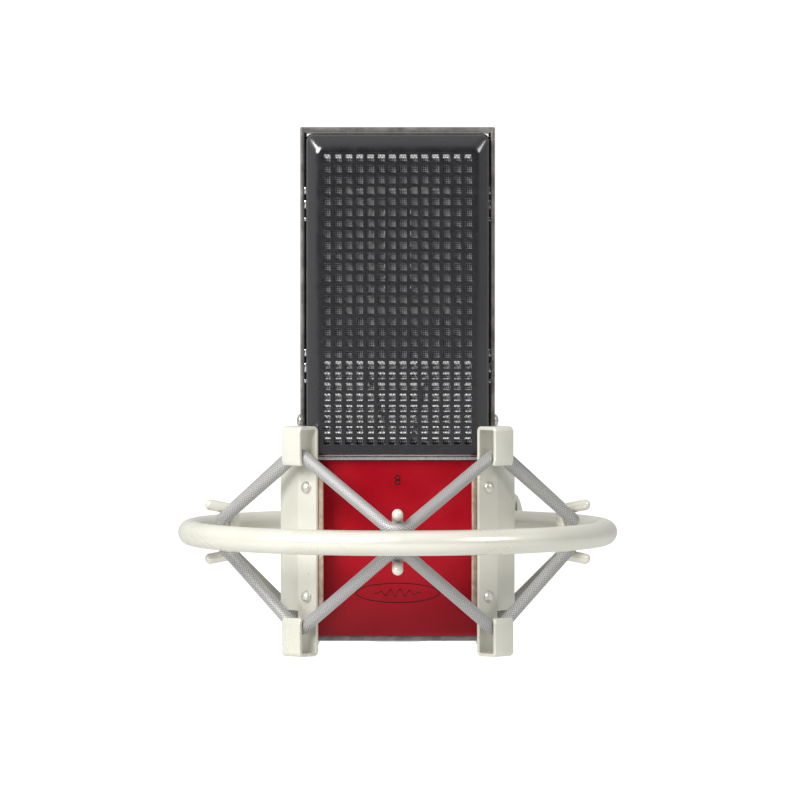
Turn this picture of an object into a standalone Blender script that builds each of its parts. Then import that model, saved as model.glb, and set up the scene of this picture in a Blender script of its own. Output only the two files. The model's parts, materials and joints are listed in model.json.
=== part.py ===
"""Dual-ribbon microphone held in an elastic shock mount, as separate named sub-parts.

Frame: +Z up, metres. The microphone's own axis is X = Y = 0, its front faces -Y, and Z = 0 is the
face of the cable socket's insulator. Most heights are given from the plane of the shock ring.
"""

import math

import bmesh
import bpy
from mathutils import Matrix, Vector

MM = 0.001
GAP = 0.3 * MM

# Levels and axes
RING_Z = 15.0 * MM  # plane of the ring above the socket's insulator face
PIVOT_Y = 74.0 * MM  # tilt pivot, behind the ring

# Microphone body, heights from the plane of the ring
BODY_WIDTH = 53.0 * MM
BODY_DEPTH = 28.0 * MM
BODY_TOP = 111.0 * MM
BODY_LOW = -27.0 * MM
BODY_WALL = 1.15 * MM
BODY_CORNER = 0.6 * MM
BASE_LOW = -29.1 * MM
SIDE_SCREW_Z = 30.5 * MM
SOCKET_SCREW_X = 13.0 * MM

# Grille covers
COVER_WIDTH = 50.0 * MM
COVER_LOW = 21.5 * MM
COVER_TOP = 109.2 * MM
COVER_RISE = 4.5 * MM
COVER_SHEET = 1.0 * MM
COVER_SIDE_SLOPE = 3.8 * MM
COVER_END_SLOPE = 5.0 * MM
HOLE_PITCH = 2.957 * MM
HOLE_SIZE = 1.93 * MM
HOLE_COLUMNS = 14
HOLE_ROWS = 27
HOLES_MIDDLE_Z = 64.2 * MM
SLOTS_PER_COLUMN = 9

# Coloured panels below the covers
PANEL_LOW = -26.7 * MM
PANEL_TOP = 20.2 * MM
PANEL_SHEET = 1.4 * MM
PANEL_PROUD = 0.6 * MM
PANEL_SCREWS = ((-18.0 * MM, 14.0 * MM), (18.0 * MM, 14.0 * MM))

# Ribbon motor
RIBBON_LOW = 60.7 * MM
RIBBON_TOP = 93.7 * MM
RIBBON_X = 6.0 * MM
RIBBON_WIDTH = 4.8 * MM
RIBBON_Y = -1.95 * MM
RIBBON_FOLDS = 14
PLATE_LOW = 47.5 * MM
PLATE_TOP = 102.5 * MM
PLATE_HALF = 1.5 * MM
MAGNET_INNER = 9.0 * MM
MAGNET_OUTER = 14.6 * MM

# Shock ring and cord posts
RING_RADIUS = 57.0 * MM
RING_TUBE = 3.4 * MM
POST_WIRE = 1.5 * MM
POST_RADIUS = 45.0 * MM
PIN_TIP_RADIUS = 52.9 * MM
PIN_TIP_Z = 7.7 * MM
PIN_SPLAY = math.radians(11)

# Elastic cord
CORD = 1.6 * MM
CORD_PIN_RADIUS = 48.3 * MM
CORD_PIN_Z = 3.33 * MM
CORD_BEND = 4.2 * MM

# Brackets: outer face of the right front quarter, seen from above
SHEET = 1.0 * MM
LIP_X = 22.2 * MM
LIP_Y = 21.2 * MM
CREASE_X = 27.2 * MM
CREASE_Y = 16.2 * MM
SIDE_X = 32.0 * MM
SIDE_Y = 8.6 * MM
SIDE_TOP = 18.9 * MM
SIDE_LOW = -20.7 * MM
HOOK_TOP = 29.8 * MM
HOOK_LOW = -32.8 * MM
HOOK_OUT = 6.2 * MM
HOOK_LEG = 10.4 * MM
HOOK_CORNER = 0.9 * MM
CORD_IN_HOOK = 3.05 * MM
CORD_HOOK_TOP = 22.0 * MM
CORD_HOOK_LOW = -25.2 * MM
FRONT_SCREWS = (13.1 * MM, -16.7 * MM)
REAR_SCREWS = (-1.8 * MM,)
STRAP_HALF = 7.0 * MM

# Stand joint
TONGUE_HALF = 5.0 * MM
TONGUE_RADIUS = 7.0 * MM
WASHER_SHEET = 0.7 * MM
CHEEK = 4.0 * MM
BOLT = 3.0 * MM
BASE_RADIUS = 12.7 * MM
ADAPTER_LOW = -34.0 * MM
ADAPTER_TOP = -20.0 * MM
THREAD_RADIUS = 7.9 * MM
THREAD_DEPTH = 10.5 * MM
KNOB_RADIUS = 10.4 * MM
KNOB_END = 35.7 * MM

# Cable socket
SHELL_RADIUS = 9.5 * MM
SHELL_BORE = 8.2 * MM
PIN_CIRCLE = 4.0 * MM
CONTACT = 1.2 * MM

MATERIALS = {
    "nickel": ((0.16, 0.15, 0.14), 0.35, 0.9),
    "black_lacquer": ((0.02, 0.02, 0.022), 0.25, 0.1),
    "silver_mesh": ((0.6, 0.6, 0.6), 0.4, 1.0),
    "red_satin": ((0.42, 0.01, 0.02), 0.4, 0.2),
    "cream_paint": ((0.66, 0.65, 0.57), 0.35, 0.2),
    "cord": ((0.5, 0.48, 0.46), 0.7, 0.0),
    "felt": ((0.5, 0.42, 0.33), 0.95, 0.0),
    "steel": ((0.6, 0.6, 0.6), 0.3, 1.0),
    "chrome": ((0.75, 0.75, 0.75), 0.08, 1.0),
    "magnet": ((0.2, 0.2, 0.21), 0.4, 0.9),
    "foil": ((0.85, 0.85, 0.86), 0.25, 1.0),
    "dark_plate": ((0.03, 0.03, 0.03), 0.6, 0.3),
    "black_plastic": ((0.02, 0.02, 0.02), 0.5, 0.0),
    "copper": ((0.6, 0.25, 0.12), 0.4, 0.8),
    "brass": ((0.7, 0.5, 0.2), 0.3, 1.0),
    "wire": ((0.5, 0.05, 0.05), 0.5, 0.0),
}


def mm(*values):
    return tuple(value * MM for value in values)


# ---------------------------------------------------------------- scene


def clear_scene():
    for old in list(bpy.data.objects):
        bpy.data.objects.remove(old)


def empty(name, at, parent=None):
    """An empty at a place given from the ring's centre."""
    marker = bpy.data.objects.new(name, None)
    bpy.context.scene.collection.objects.link(marker)
    attach(marker, at, parent)
    return marker


def attach(obj, at, parent):
    obj["at"] = tuple(at)
    obj.parent = parent
    obj.location = Vector(at) - Vector(parent["at"]) if parent else Vector(at)


def make(name, mesh_data, material, parent, at=(0, 0, 0), smooth=None):
    """An object from a bmesh, whose points are given from `at`."""
    bmesh.ops.recalc_face_normals(mesh_data, faces=mesh_data.faces)
    mesh = bpy.data.meshes.new(name)
    mesh_data.to_mesh(mesh)
    mesh_data.free()
    if smooth is not None:
        mesh.shade_smooth()
        mesh.set_sharp_from_angle(angle=math.radians(smooth))
    obj = bpy.data.objects.new(name, mesh)
    bpy.context.scene.collection.objects.link(obj)
    attach(obj, at, parent)
    obj.data.materials.append(finish(material))
    return obj


def finish(name):
    found = bpy.data.materials.get(name)
    if found:
        return found
    colour, roughness, metallic = MATERIALS[name]
    made = bpy.data.materials.new(name)
    made.use_nodes = True
    shader = made.node_tree.nodes["Principled BSDF"]
    shader.inputs["Base Color"].default_value = (*colour, 1.0)
    shader.inputs["Roughness"].default_value = roughness
    shader.inputs["Metallic"].default_value = metallic
    return made


def combine(obj, operation, shape, parent, at=(0, 0, 0)):
    """Adds an exact Boolean with a hidden helper made from a bmesh."""
    helper = make(f"{obj.name}_{operation.lower()}", shape, "steel", parent, at)
    helper.hide_render = True
    helper.display_type = "WIRE"
    helper.hide_set(True)
    boolean = obj.modifiers.new(operation.title(), "BOOLEAN")
    boolean.operation = operation
    boolean.solver = "EXACT"
    boolean.object = helper
    boolean.use_self = False


# ---------------------------------------------------------------- shapes


def extrude(shape, outline, low, high, place):
    """A closed prism: the outline (a, b) swept from low to high, with place(a, b, c) in space."""
    ends = [[shape.verts.new(place(a, b, c)) for a, b in outline] for c in (low, high)]
    shape.faces.new(ends[0])
    shape.faces.new(ends[1][::-1])
    for i in range(len(outline)):
        j = (i + 1) % len(outline)
        shape.faces.new((ends[0][i], ends[0][j], ends[1][j], ends[1][i]))


def along_z(a, b, c):
    return Vector((a, b, c))


def along_y(a, b, c):
    return Vector((a, c, b))


def along_x(a, b, c):
    return Vector((c, a, b))


def block(shape, low, high):
    outline = [(low[0], low[1]), (high[0], low[1]), (high[0], high[1]), (low[0], high[1])]
    extrude(shape, outline, low[2], high[2], along_z)


def arc(centre, radius, start, end, steps):
    """Points on an arc, angles in degrees."""
    angles = [math.radians(start + (end - start) * i / steps) for i in range(steps + 1)]
    return [(centre[0] + radius * math.cos(t), centre[1] + radius * math.sin(t)) for t in angles]


def rounded_rectangle(half_a, low_b, high_b, radius, steps=4):
    corners = (
        ((half_a - radius, high_b - radius), 0),
        ((-half_a + radius, high_b - radius), 90),
        ((-half_a + radius, low_b + radius), 180),
        ((half_a - radius, low_b + radius), 270),
    )
    return [p for centre, turn in corners for p in arc(centre, radius, turn, turn + 90, steps)]


def loft(shape, loops, closed):
    """Joins equal loops of points in turn; closed joins the last to the first, else it caps both."""
    rings = [[shape.verts.new(p) for p in loop] for loop in loops]
    count = len(rings[0])
    pairs = list(zip(rings, rings[1:] + rings[:1])) if closed else list(zip(rings, rings[1:]))
    for one, two in pairs:
        for i in range(count):
            j = (i + 1) % count
            shape.faces.new((one[i], one[j], two[j], two[i]))
    if not closed:
        shape.faces.new(rings[0][::-1])
        shape.faces.new(rings[-1])


def turned(shape, profile, centre, axis, segments=24, lobes=0, lobe_depth=0.0, lobed_from=0.0):
    """Turns (radius, along) points about an axis. Ends at radius 0 close on it, else it is a ring."""
    axis = Vector(axis).normalized()
    side = axis.orthogonal().normalized()
    other = axis.cross(side)
    rings = []
    for radius, height in profile:
        if radius == 0:
            rings.append([shape.verts.new(Vector(centre) + axis * height)])
            continue
        ring = []
        for i in range(segments):
            t = 2 * math.pi * i / segments
            lobe = lobe_depth * 0.5 * (1 - math.cos(lobes * t)) if radius > lobed_from else 0
            spoke = side * math.cos(t) + other * math.sin(t)
            ring.append(shape.verts.new(Vector(centre) + axis * height + spoke * (radius - lobe)))
        rings.append(ring)
    open_ring = profile[0][0] > 0
    for one, two in zip(rings, rings[1:] + rings[:1] if open_ring else rings[1:]):
        for i in range(segments):
            j = (i + 1) % segments
            corners = [one[i % len(one)], one[j % len(one)], two[j % len(two)], two[i % len(two)]]
            shape.faces.new(list(dict.fromkeys(corners)))


def cylinder(shape, centre, axis, radius, low, high, segments=16):
    turned(shape, [(0, low), (radius, low), (radius, high), (0, high)], centre, axis, segments)


def ring_band(shape, centre, axis, inner, outer, low, high, segments=24):
    profile = [(inner, low), (outer, low), (outer, high), (inner, high)]
    turned(shape, profile, centre, axis, segments)


def dome_screw(shape, head_at, axis, head, rise, shank, length):
    """A domed head that stands on head_at, with its shank running back along the axis."""
    dome = [(head * math.cos(t), rise * math.sin(t)) for t in (0.0, 0.5, 0.95, 1.3)]
    profile = [(0, -length), (shank, -length), (shank, 0), *dome, (0, rise)]
    turned(shape, profile, head_at, axis, 12)


def fillet(before, corner, after, radius, steps):
    """Points of the arc that rounds a corner of a path."""
    towards = (before - corner).normalized()
    away = (after - corner).normalized()
    half = towards.angle(away) / 2
    centre = corner + (towards + away).normalized() * radius / math.sin(half)
    start = corner + towards * radius / math.tan(half) - centre
    turn = start.cross(corner + away * radius / math.tan(half) - centre).normalized()
    sweep_angle = math.pi - 2 * half
    return [
        centre + Matrix.Rotation(sweep_angle * i / steps, 3, turn) @ start
        for i in range(steps + 1)
    ]


def rounded_path(corners, radius, steps, closed):
    corners = [Vector(c) for c in corners]
    count = len(corners)
    path = []
    for i, corner in enumerate(corners):
        if not closed and i in (0, count - 1):
            path.append(corner)
            continue
        path += fillet(corners[i - 1], corner, corners[(i + 1) % count], radius, steps)
    return path


def sweep(shape, path, radius, sides, closed, round_ends=False):
    """A round wire along a path, with its section carried along without twist."""
    path = [Vector(p) for p in path]
    radii = [radius] * len(path)
    if round_ends:
        path, radii = round_off(path, radius)
    count = len(path)
    tangents = []
    for i in range(count):
        before = path[i - 1] if closed or i else path[0]
        after = path[(i + 1) % count] if closed or i < count - 1 else path[-1]
        tangents.append((after - before).normalized())
    side = tangents[0].orthogonal().normalized()
    sides_of = [side]
    for one, two in zip(tangents, tangents[1:] + tangents[:1]):
        side = one.rotation_difference(two) @ side
        sides_of.append(side)
    twist = 0.0
    if closed:
        start, end = sides_of[0], sides_of[-1]
        twist = math.atan2(end.cross(start).dot(tangents[0]), end.dot(start))
    loops = []
    for i in range(count):
        spin = Matrix.Rotation(twist * i / count, 3, tangents[i])
        first = spin @ sides_of[i]
        second = tangents[i].cross(first)
        loop = []
        for k in range(sides):
            t = 2 * math.pi * k / sides
            loop.append(path[i] + (first * math.cos(t) + second * math.sin(t)) * radii[i])
        loops.append(loop)
    loft(shape, loops, closed)


def round_off(path, radius):
    """Adds shrinking rings at both ends of a wire, which give it rounded tips."""
    steps = [(0.45, 0.89), (0.8, 0.6), (0.96, 0.28)]
    head = (path[0] - path[1]).normalized()
    tail = (path[-1] - path[-2]).normalized()
    front = [path[0] + head * radius * (d - 1) for d, _ in reversed(steps)]
    back = [path[-1] + tail * radius * (d - 1) for d, _ in steps]
    start = path[0] - head * radius
    end = path[-1] - tail * radius
    full = [*front, start, *path[1:-1], end, *back]
    shrink = [radius * r for _, r in steps]
    return full, [*reversed(shrink), *[radius] * len(path), *shrink]


def band(path, thickness):
    """The outline of a bent strip: a centre line given its thickness, with mitred corners."""
    left, right = [], []
    for i, here in enumerate(path):
        before = path[max(i - 1, 0)]
        after = path[min(i + 1, len(path) - 1)]
        into = (here - before).normalized() if i else (after - here).normalized()
        out = (after - here).normalized() if i < len(path) - 1 else into
        across = Vector((-(into + out).y, (into + out).x)).normalized()
        square = Vector((-into.y, into.x))
        offset = across * thickness / 2 / across.dot(square)
        left.append(tuple(here + offset))
        right.append(tuple(here - offset))
    return left + right[::-1]


def flat_path(corners, radius, steps=4):
    """A rounded path in a plane, as 2-D points."""
    path = rounded_path([(a, b, 0) for a, b in corners], radius, steps, closed=False)
    return [Vector((p.x, p.y)) for p in path]


# ---------------------------------------------------------------- microphone body


def add_perimeter_frame(parent):
    shape = bmesh.new()
    half = BODY_WIDTH / 2
    outer = rounded_rectangle(half, BODY_LOW, BODY_TOP, BODY_CORNER, 3)
    low, top = BODY_LOW + BODY_WALL, BODY_TOP - BODY_WALL
    inner = rounded_rectangle(half - BODY_WALL, low, top, BODY_CORNER / 2, 3)
    depth = BODY_DEPTH / 2
    loops = [
        [along_y(a, b, y) for a, b in outline]
        for outline, y in ((outer, -depth), (outer, depth), (inner, depth), (inner, -depth))
    ]
    loft(shape, loops, closed=True)
    frame = make("perimeter_frame", shape, "nickel", parent, smooth=30)
    holes = bmesh.new()
    for x in (-half, half):
        cylinder(holes, (x, 0, SIDE_SCREW_Z), (1, 0, 0), 1.4 * MM, -4 * MM, 4 * MM, 12)
    opening = SHELL_RADIUS + GAP
    cylinder(holes, (0, 0, BODY_LOW), (0, 0, 1), opening, -3 * MM, 3 * MM, 24)
    cylinder(holes, (SOCKET_SCREW_X, 0, BODY_LOW), (0, 0, 1), 1.3 * MM, -3 * MM, 3 * MM, 12)
    combine(frame, "DIFFERENCE", holes, parent)


def add_bottom_plate(parent):
    shape = bmesh.new()
    half_x, half_y = BODY_WIDTH / 2, BODY_DEPTH / 2
    outline = rounded_rectangle(half_x, -half_y, half_y, BODY_CORNER, 3)
    extrude(shape, outline, BASE_LOW, BODY_LOW - GAP, along_z)
    plate = make("bottom_plate", shape, "nickel", parent)
    holes = bmesh.new()
    cylinder(holes, (0, 0, BASE_LOW), (0, 0, 1), SHELL_RADIUS + GAP, -3 * MM, 4 * MM, 24)
    cylinder(holes, (SOCKET_SCREW_X, 0, BASE_LOW), (0, 0, 1), 1.3 * MM, -3 * MM, 4 * MM, 12)
    combine(plate, "DIFFERENCE", holes, parent)


def cover_loops(facing):
    """The cover's outline at each depth, outside going in and back along its inner skin."""
    half, rim = COVER_WIDTH / 2, BODY_DEPTH / 2
    levels = []
    for skin in (0.0, COVER_SHEET):
        side = []
        for t in (0, 30, 60, 90):
            along, up = 1 - math.cos(math.radians(t)), math.sin(math.radians(t))
            inset_x = skin + (COVER_SIDE_SLOPE - skin * 0.4) * along
            inset_z = skin + (COVER_END_SLOPE - skin * 0.4) * along
            side.append((inset_x, inset_z, rim + (COVER_RISE - skin) * up))
        side.insert(0, (skin, skin, rim - 1.5 * MM))
        levels += side if skin == 0 else side[::-1]
    loops = []
    for inset_x, inset_z, depth in levels:
        outline = rounded_rectangle(
            half - inset_x, COVER_LOW + inset_z, COVER_TOP - inset_z, 1.5 * MM, 3
        )
        loops.append([along_y(a, b, depth * facing) for a, b in outline])
    return loops


def add_cover(name, facing, parent):
    """facing is -1 for the front and 1 for the rear."""
    shape = bmesh.new()
    loops = cover_loops(facing)
    outer, inner = loops[: len(loops) // 2], loops[len(loops) // 2 :]
    pan(shape, outer, inner)
    cover = make(name, shape, "black_lacquer", parent, smooth=40)
    slots = bmesh.new()
    rows = HOLE_ROWS // SLOTS_PER_COLUMN
    deep = BODY_DEPTH / 2 + COVER_RISE
    for column in range(HOLE_COLUMNS):
        x = (column - (HOLE_COLUMNS - 1) / 2) * HOLE_PITCH
        for slot in range(SLOTS_PER_COLUMN):
            middle = HOLES_MIDDLE_Z + (slot - (SLOTS_PER_COLUMN - 1) / 2) * rows * HOLE_PITCH
            tall = (rows - 1) * HOLE_PITCH + HOLE_SIZE
            near, far = sorted((facing * (deep - 2 * MM), facing * (deep + 1 * MM)))
            low = (x - HOLE_SIZE / 2, near, middle - tall / 2)
            high = (x + HOLE_SIZE / 2, far, middle + tall / 2)
            block(slots, low, high)
    combine(cover, "DIFFERENCE", slots, parent)


def pan(shape, outer, inner):
    """A dished sheet: outer loops run to the field, inner ones run back from it to the rim."""
    rings = [[shape.verts.new(p) for p in loop] for loop in outer + inner]
    count = len(rings[0])
    last = len(outer) - 1
    for k, (one, two) in enumerate(zip(rings, rings[1:] + rings[:1])):
        if k == last:
            continue
        for i in range(count):
            j = (i + 1) % count
            shape.faces.new((one[i], one[j], two[j], two[i]))
    shape.faces.new(rings[last])
    shape.faces.new(rings[last + 1][::-1])


def add_mesh_sheet(name, facing, parent):
    shape = bmesh.new()
    half = COVER_WIDTH / 2 - COVER_SIDE_SLOPE - 0.9 * MM
    low, high = COVER_LOW + 4.6 * MM, COVER_TOP - 4.6 * MM
    back = facing * (BODY_DEPTH / 2 + COVER_RISE - COVER_SHEET - GAP)
    near, far = sorted((back, back - facing * 0.3 * MM))
    block(shape, (-half, near, low), (half, far, high))
    make(name, shape, "silver_mesh", parent)


def add_panel(name, facing, parent):
    shape = bmesh.new()
    outline = rounded_rectangle(COVER_WIDTH / 2, PANEL_LOW + 1.2 * MM, PANEL_TOP, 0.5 * MM, 3)
    front = facing * (BODY_DEPTH / 2 + PANEL_PROUD)
    near, far = sorted((front, front - facing * PANEL_SHEET))
    extrude(shape, outline, near, far, along_y)
    panel = make(name, shape, "red_satin", parent, smooth=30)
    if facing > 0:
        holes = bmesh.new()
        for x, z in PANEL_SCREWS:
            cylinder(holes, (x, far, z), (0, 1, 0), 1.2 * MM, -4 * MM, 2 * MM, 12)
        combine(panel, "DIFFERENCE", holes, parent)


def add_trim(name, facing, parent):
    shape = bmesh.new()
    half = COVER_WIDTH / 2
    near, far = sorted((facing * 13.0 * MM, facing * 15.2 * MM))
    block(shape, (-half, near, PANEL_TOP + 0.2 * MM), (half, far, COVER_LOW - 0.2 * MM))
    make(name, shape, "chrome", parent)


def add_body_screws(parent):
    for name, side in (("left", -1), ("right", 1)):
        shape = bmesh.new()
        at = (side * (BODY_WIDTH / 2 + 0.1 * MM), 0, SIDE_SCREW_Z)
        dome_screw(shape, at, (side, 0, 0), 1.9 * MM, 1.2 * MM, 1.1 * MM, 4 * MM)
        make(f"{name}_side_screw", shape, "steel", parent, smooth=40)
    front = BODY_DEPTH / 2 + PANEL_PROUD + 0.1 * MM
    for name, (x, z) in zip(("left", "right"), PANEL_SCREWS):
        shape = bmesh.new()
        dome_screw(shape, (x, front, z), (0, 1, 0), 1.9 * MM, 0.9 * MM, 0.9 * MM, 4 * MM)
        make(f"{name}_panel_screw", shape, "steel", parent, smooth=40)
    shape = bmesh.new()
    at = (SOCKET_SCREW_X, 0, BASE_LOW - 0.1 * MM)
    dome_screw(shape, at, (0, 0, -1), 2.2 * MM, 1.0 * MM, 1.0 * MM, 6 * MM)
    make("socket_screw", shape, "steel", parent, smooth=40)


# ---------------------------------------------------------------- cable socket


def add_socket(parent):
    shape = bmesh.new()
    low, seat, top = -29.8 * MM, -RING_Z, -10.0 * MM
    ring_band(shape, (0, 0, 0), (0, 0, 1), SHELL_BORE, SHELL_RADIUS, low, top, 30)
    make("socket_shell", shape, "chrome", parent, smooth=40)
    shape = bmesh.new()
    cylinder(shape, (0, 0, 0), (0, 0, 1), SHELL_BORE - GAP, seat, top, 30)
    insert = make("socket_insulator", shape, "black_plastic", parent, smooth=40)
    holes = bmesh.new()
    for number, turn in enumerate((90, 210, 330), 1):
        x = PIN_CIRCLE * math.cos(math.radians(turn))
        y = PIN_CIRCLE * math.sin(math.radians(turn))
        cylinder(holes, (x, y, 0), (0, 0, 1), CONTACT + GAP, seat - 2 * MM, top + 2 * MM, 12)
        tip, tail = -27.6 * MM, -7.0 * MM
        profile = [(0, tip), (0.7 * MM, tip), (CONTACT, tip + 0.8 * MM), (CONTACT, tail), (0, tail)]
        pin = bmesh.new()
        turned(pin, profile, (x, y, 0), (0, 0, 1), 12)
        make(f"socket_pin_{number}", pin, "brass", parent, smooth=40)
    combine(insert, "DIFFERENCE", holes, parent)


# ---------------------------------------------------------------- ribbon motor


def add_motor(parent):
    wide = BODY_WIDTH / 2 - BODY_WALL - GAP
    shape = bmesh.new()
    window = MAGNET_OUTER + GAP
    low, top = RIBBON_LOW - 0.5 * MM, RIBBON_TOP + 0.5 * MM
    outer = [(-wide, PLATE_LOW), (wide, PLATE_LOW), (wide, PLATE_TOP), (-wide, PLATE_TOP)]
    inner = [(-window, low), (window, low), (window, top), (-window, top)]
    loops = [
        [along_y(a, b, y) for a, b in outline]
        for outline, y in (
            (outer, -PLATE_HALF),
            (outer, PLATE_HALF),
            (inner, PLATE_HALF),
            (inner, -PLATE_HALF),
        )
    ]
    loft(shape, loops, closed=True)
    make("motor_plate", shape, "dark_plate", parent)
    magnet_low, magnet_top = low + GAP, top - GAP
    for name, x0, x1 in (
        ("left_magnet", -MAGNET_OUTER, -MAGNET_INNER),
        ("centre_magnet", -3.0 * MM, 3.0 * MM),
        ("right_magnet", MAGNET_INNER, MAGNET_OUTER),
    ):
        shape = bmesh.new()
        block(shape, (x0, -6.0 * MM, magnet_low), (x1, 4.1 * MM, magnet_top))
        make(name, shape, "magnet", parent)
    shape = bmesh.new()
    outer = [(-MAGNET_OUTER, magnet_low), (MAGNET_OUTER, magnet_low)]
    outer += [(MAGNET_OUTER, magnet_top), (-MAGNET_OUTER, magnet_top)]
    inner = [(a * 0.85, b + (4 * MM if b == magnet_low else -4 * MM)) for a, b in outer]
    near, far = 4.4 * MM, 6.0 * MM
    loops = [
        [along_y(a, b, y) for a, b in outline]
        for outline, y in ((outer, near), (outer, far), (inner, far), (inner, near))
    ]
    loft(shape, loops, closed=True)
    make("magnet_yoke", shape, "steel", parent)
    for name, side in (("left_ribbon", -1), ("right_ribbon", 1)):
        add_ribbon(name, side, parent)
    for name, z in (("bottom", RIBBON_LOW - 4.3 * MM), ("top", RIBBON_TOP + 0.9 * MM)):
        half = RIBBON_X + 3.6 * MM
        clamp = bmesh.new()
        block(clamp, (-half, -4.4 * MM, z), (half, -2.4 * MM, z + 3.4 * MM))
        make(f"{name}_clamp", clamp, "brass", parent)
        screw = bmesh.new()
        at = (0, -4.7 * MM, z + 1.7 * MM)
        profile = [(0, 0), (1.3 * MM, 0), (1.3 * MM, 0.5 * MM), (0.8 * MM, 0.9 * MM)]
        turned(screw, [*profile, (0, 0.9 * MM)], at, (0, -1, 0), 12)
        make(f"{name}_clamp_screw", screw, "steel", parent, smooth=40)


def add_ribbon(name, side, parent):
    """Corrugated foil, thin beside its length, with flat ends under the clamps."""
    steps = RIBBON_FOLDS * 2
    path = [Vector((RIBBON_Y, RIBBON_LOW - 4.0 * MM))]
    for i in range(steps + 1):
        fold = 0.0 if i in (0, steps) else 0.3 * MM * (1 if i % 2 else -1)
        path.append(Vector((RIBBON_Y + fold, RIBBON_LOW + (RIBBON_TOP - RIBBON_LOW) * i / steps)))
    path.append(Vector((RIBBON_Y, RIBBON_TOP + 4.0 * MM)))
    shape = bmesh.new()
    middle = side * RIBBON_X
    outline = band(path, 0.1 * MM)
    low, high = middle - RIBBON_WIDTH / 2, middle + RIBBON_WIDTH / 2
    extrude(shape, outline, low, high, along_x)
    make(name, shape, "foil", parent)


def add_transformer(parent):
    shape = bmesh.new()
    wide, deep = BODY_WIDTH / 2 - BODY_WALL - GAP, BODY_DEPTH / 2 - PANEL_SHEET
    block(shape, (-wide, -deep, 18.3 * MM), (wide, deep, 19.7 * MM))
    bulkhead = make("bulkhead", shape, "dark_plate", parent)
    hole = bmesh.new()
    cylinder(hole, (0, 0, 19 * MM), (0, 0, 1), 4 * MM, -3 * MM, 3 * MM, 16)
    combine(bulkhead, "DIFFERENCE", hole, parent)
    core_low, core_top = -6 * MM, 12 * MM
    shape = bmesh.new()
    bar, limb, leg = 3 * MM, 9 * MM, 3 * MM
    outline = [
        (-12 * MM, core_low), (12 * MM, core_low), (12 * MM, core_top), (-12 * MM, core_top),
    ]
    extrude(shape, outline, -4 * MM, 4 * MM, along_y)
    core = make("transformer_core", shape, "magnet", parent)
    windows = bmesh.new()
    for side in (-1, 1):
        near, far = sorted((side * leg, side * limb))
        block(windows, (near, -6 * MM, core_low + bar), (far, 6 * MM, core_top - bar))
    combine(core, "DIFFERENCE", windows, parent)
    shape = bmesh.new()
    low, top = core_low + bar + GAP, core_top - bar - GAP
    loops = []
    for x, y, z in (
        (limb, 8.5 * MM, low),
        (limb, 8.5 * MM, top),
        (leg, 4 * MM, top),
        (leg, 4 * MM, low),
    ):
        x += -GAP if x == limb else GAP
        y += GAP
        loops.append([Vector((a, b, z)) for a, b in ((-x, -y), (x, -y), (x, y), (-x, y))])
    loft(shape, loops, closed=True)
    make("transformer_coil", shape, "copper", parent)
    shape = bmesh.new()
    legs = flat_path([mm(-13.5, 18.0), mm(-13.5, 12.8), mm(13.5, 12.8), mm(13.5, 18.0)], 0.8 * MM, 3)
    extrude(shape, band(legs, 1 * MM), -4 * MM, 4 * MM, along_y)
    make("transformer_bracket", shape, "steel", parent)
    for name, side in (("left_lead", -1), ("right_lead", 1)):
        clamp_low = (side * 7.5 * MM, -3.4 * MM, RIBBON_LOW - 4.7 * MM)
        corners = [clamp_low, mm(side * 7.3, -3.4, 50), mm(side * 2, 0, 27), mm(side * 1.6, 0, 14.2)]
        shape = bmesh.new()
        path = rounded_path(corners, 2 * MM, 3, closed=False)
        sweep(shape, path, 0.35 * MM, 6, closed=False)
        make(name, shape, "wire", parent, smooth=60)


# ---------------------------------------------------------------- cradle


def quarter(side, facing):
    """Places (out, height, along) on the 45-degree lip of one quarter of the cradle."""
    lip = Vector((LIP_X, LIP_Y))
    crease = Vector((CREASE_X, CREASE_Y))
    run = (crease - lip).normalized()
    outward = Vector((-run.y, run.x))

    def place(out, height, along):
        point = lip + outward * out + run * along
        return Vector((point.x * side, point.y * facing, height))

    return place, (crease - lip).length


def hook_strip(side, facing):
    """A lip of the bracket with a cord hook at each end."""
    inner, outer = -SHEET / 2, HOOK_OUT - SHEET / 2
    top, low = HOOK_TOP - SHEET / 2, HOOK_LOW + SHEET / 2
    curl = 0.35 * MM
    corners = [
        (outer - curl, HOOK_TOP - HOOK_LEG),
        (outer, HOOK_TOP - HOOK_LEG + 1.3 * MM),
        (outer, top),
        (inner, top),
        (inner, low),
        (outer, low),
        (outer, HOOK_LOW + HOOK_LEG - 1.3 * MM),
        (outer - curl, HOOK_LOW + HOOK_LEG),
    ]
    path = [Vector(corners[0]), *flat_path(corners[1:7], HOOK_CORNER), Vector(corners[7])]
    place, width = quarter(side, facing)
    shape = bmesh.new()
    extrude(shape, band(path, SHEET), 0.0, width, place)
    return shape


def add_bracket(name, side, parent):
    shape = hook_strip(side, -1)
    bracket = make(name, shape, "cream_paint", parent, smooth=30)
    combine(bracket, "UNION", hook_strip(side, 1), parent)
    half = SHEET / 2
    run = Vector((CREASE_X - LIP_X, CREASE_Y - LIP_Y)).normalized()
    start = Vector((CREASE_X, CREASE_Y)) - run * 3 * MM + Vector((run.y, -run.x)) * half
    corner = Vector((CREASE_X, CREASE_Y)) - Vector((half, half * 0.7))
    wing = [start, corner, Vector((SIDE_X - half, SIDE_Y)), Vector((SIDE_X - half, -SIDE_Y))]
    wing += [Vector((corner.x, -corner.y)), Vector((start.x, -start.y))]
    outline = [(a * side, b) for a, b in band(wing, SHEET * 0.9)]
    web = bmesh.new()
    extrude(web, outline, SIDE_LOW, SIDE_TOP, along_z)
    combine(bracket, "UNION", web, parent)
    holes = bmesh.new()
    for facing, heights in ((-1, FRONT_SCREWS), (1, REAR_SCREWS)):
        add_screw_holes(holes, side, facing, heights)
    combine(bracket, "DIFFERENCE", holes, parent)


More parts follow.
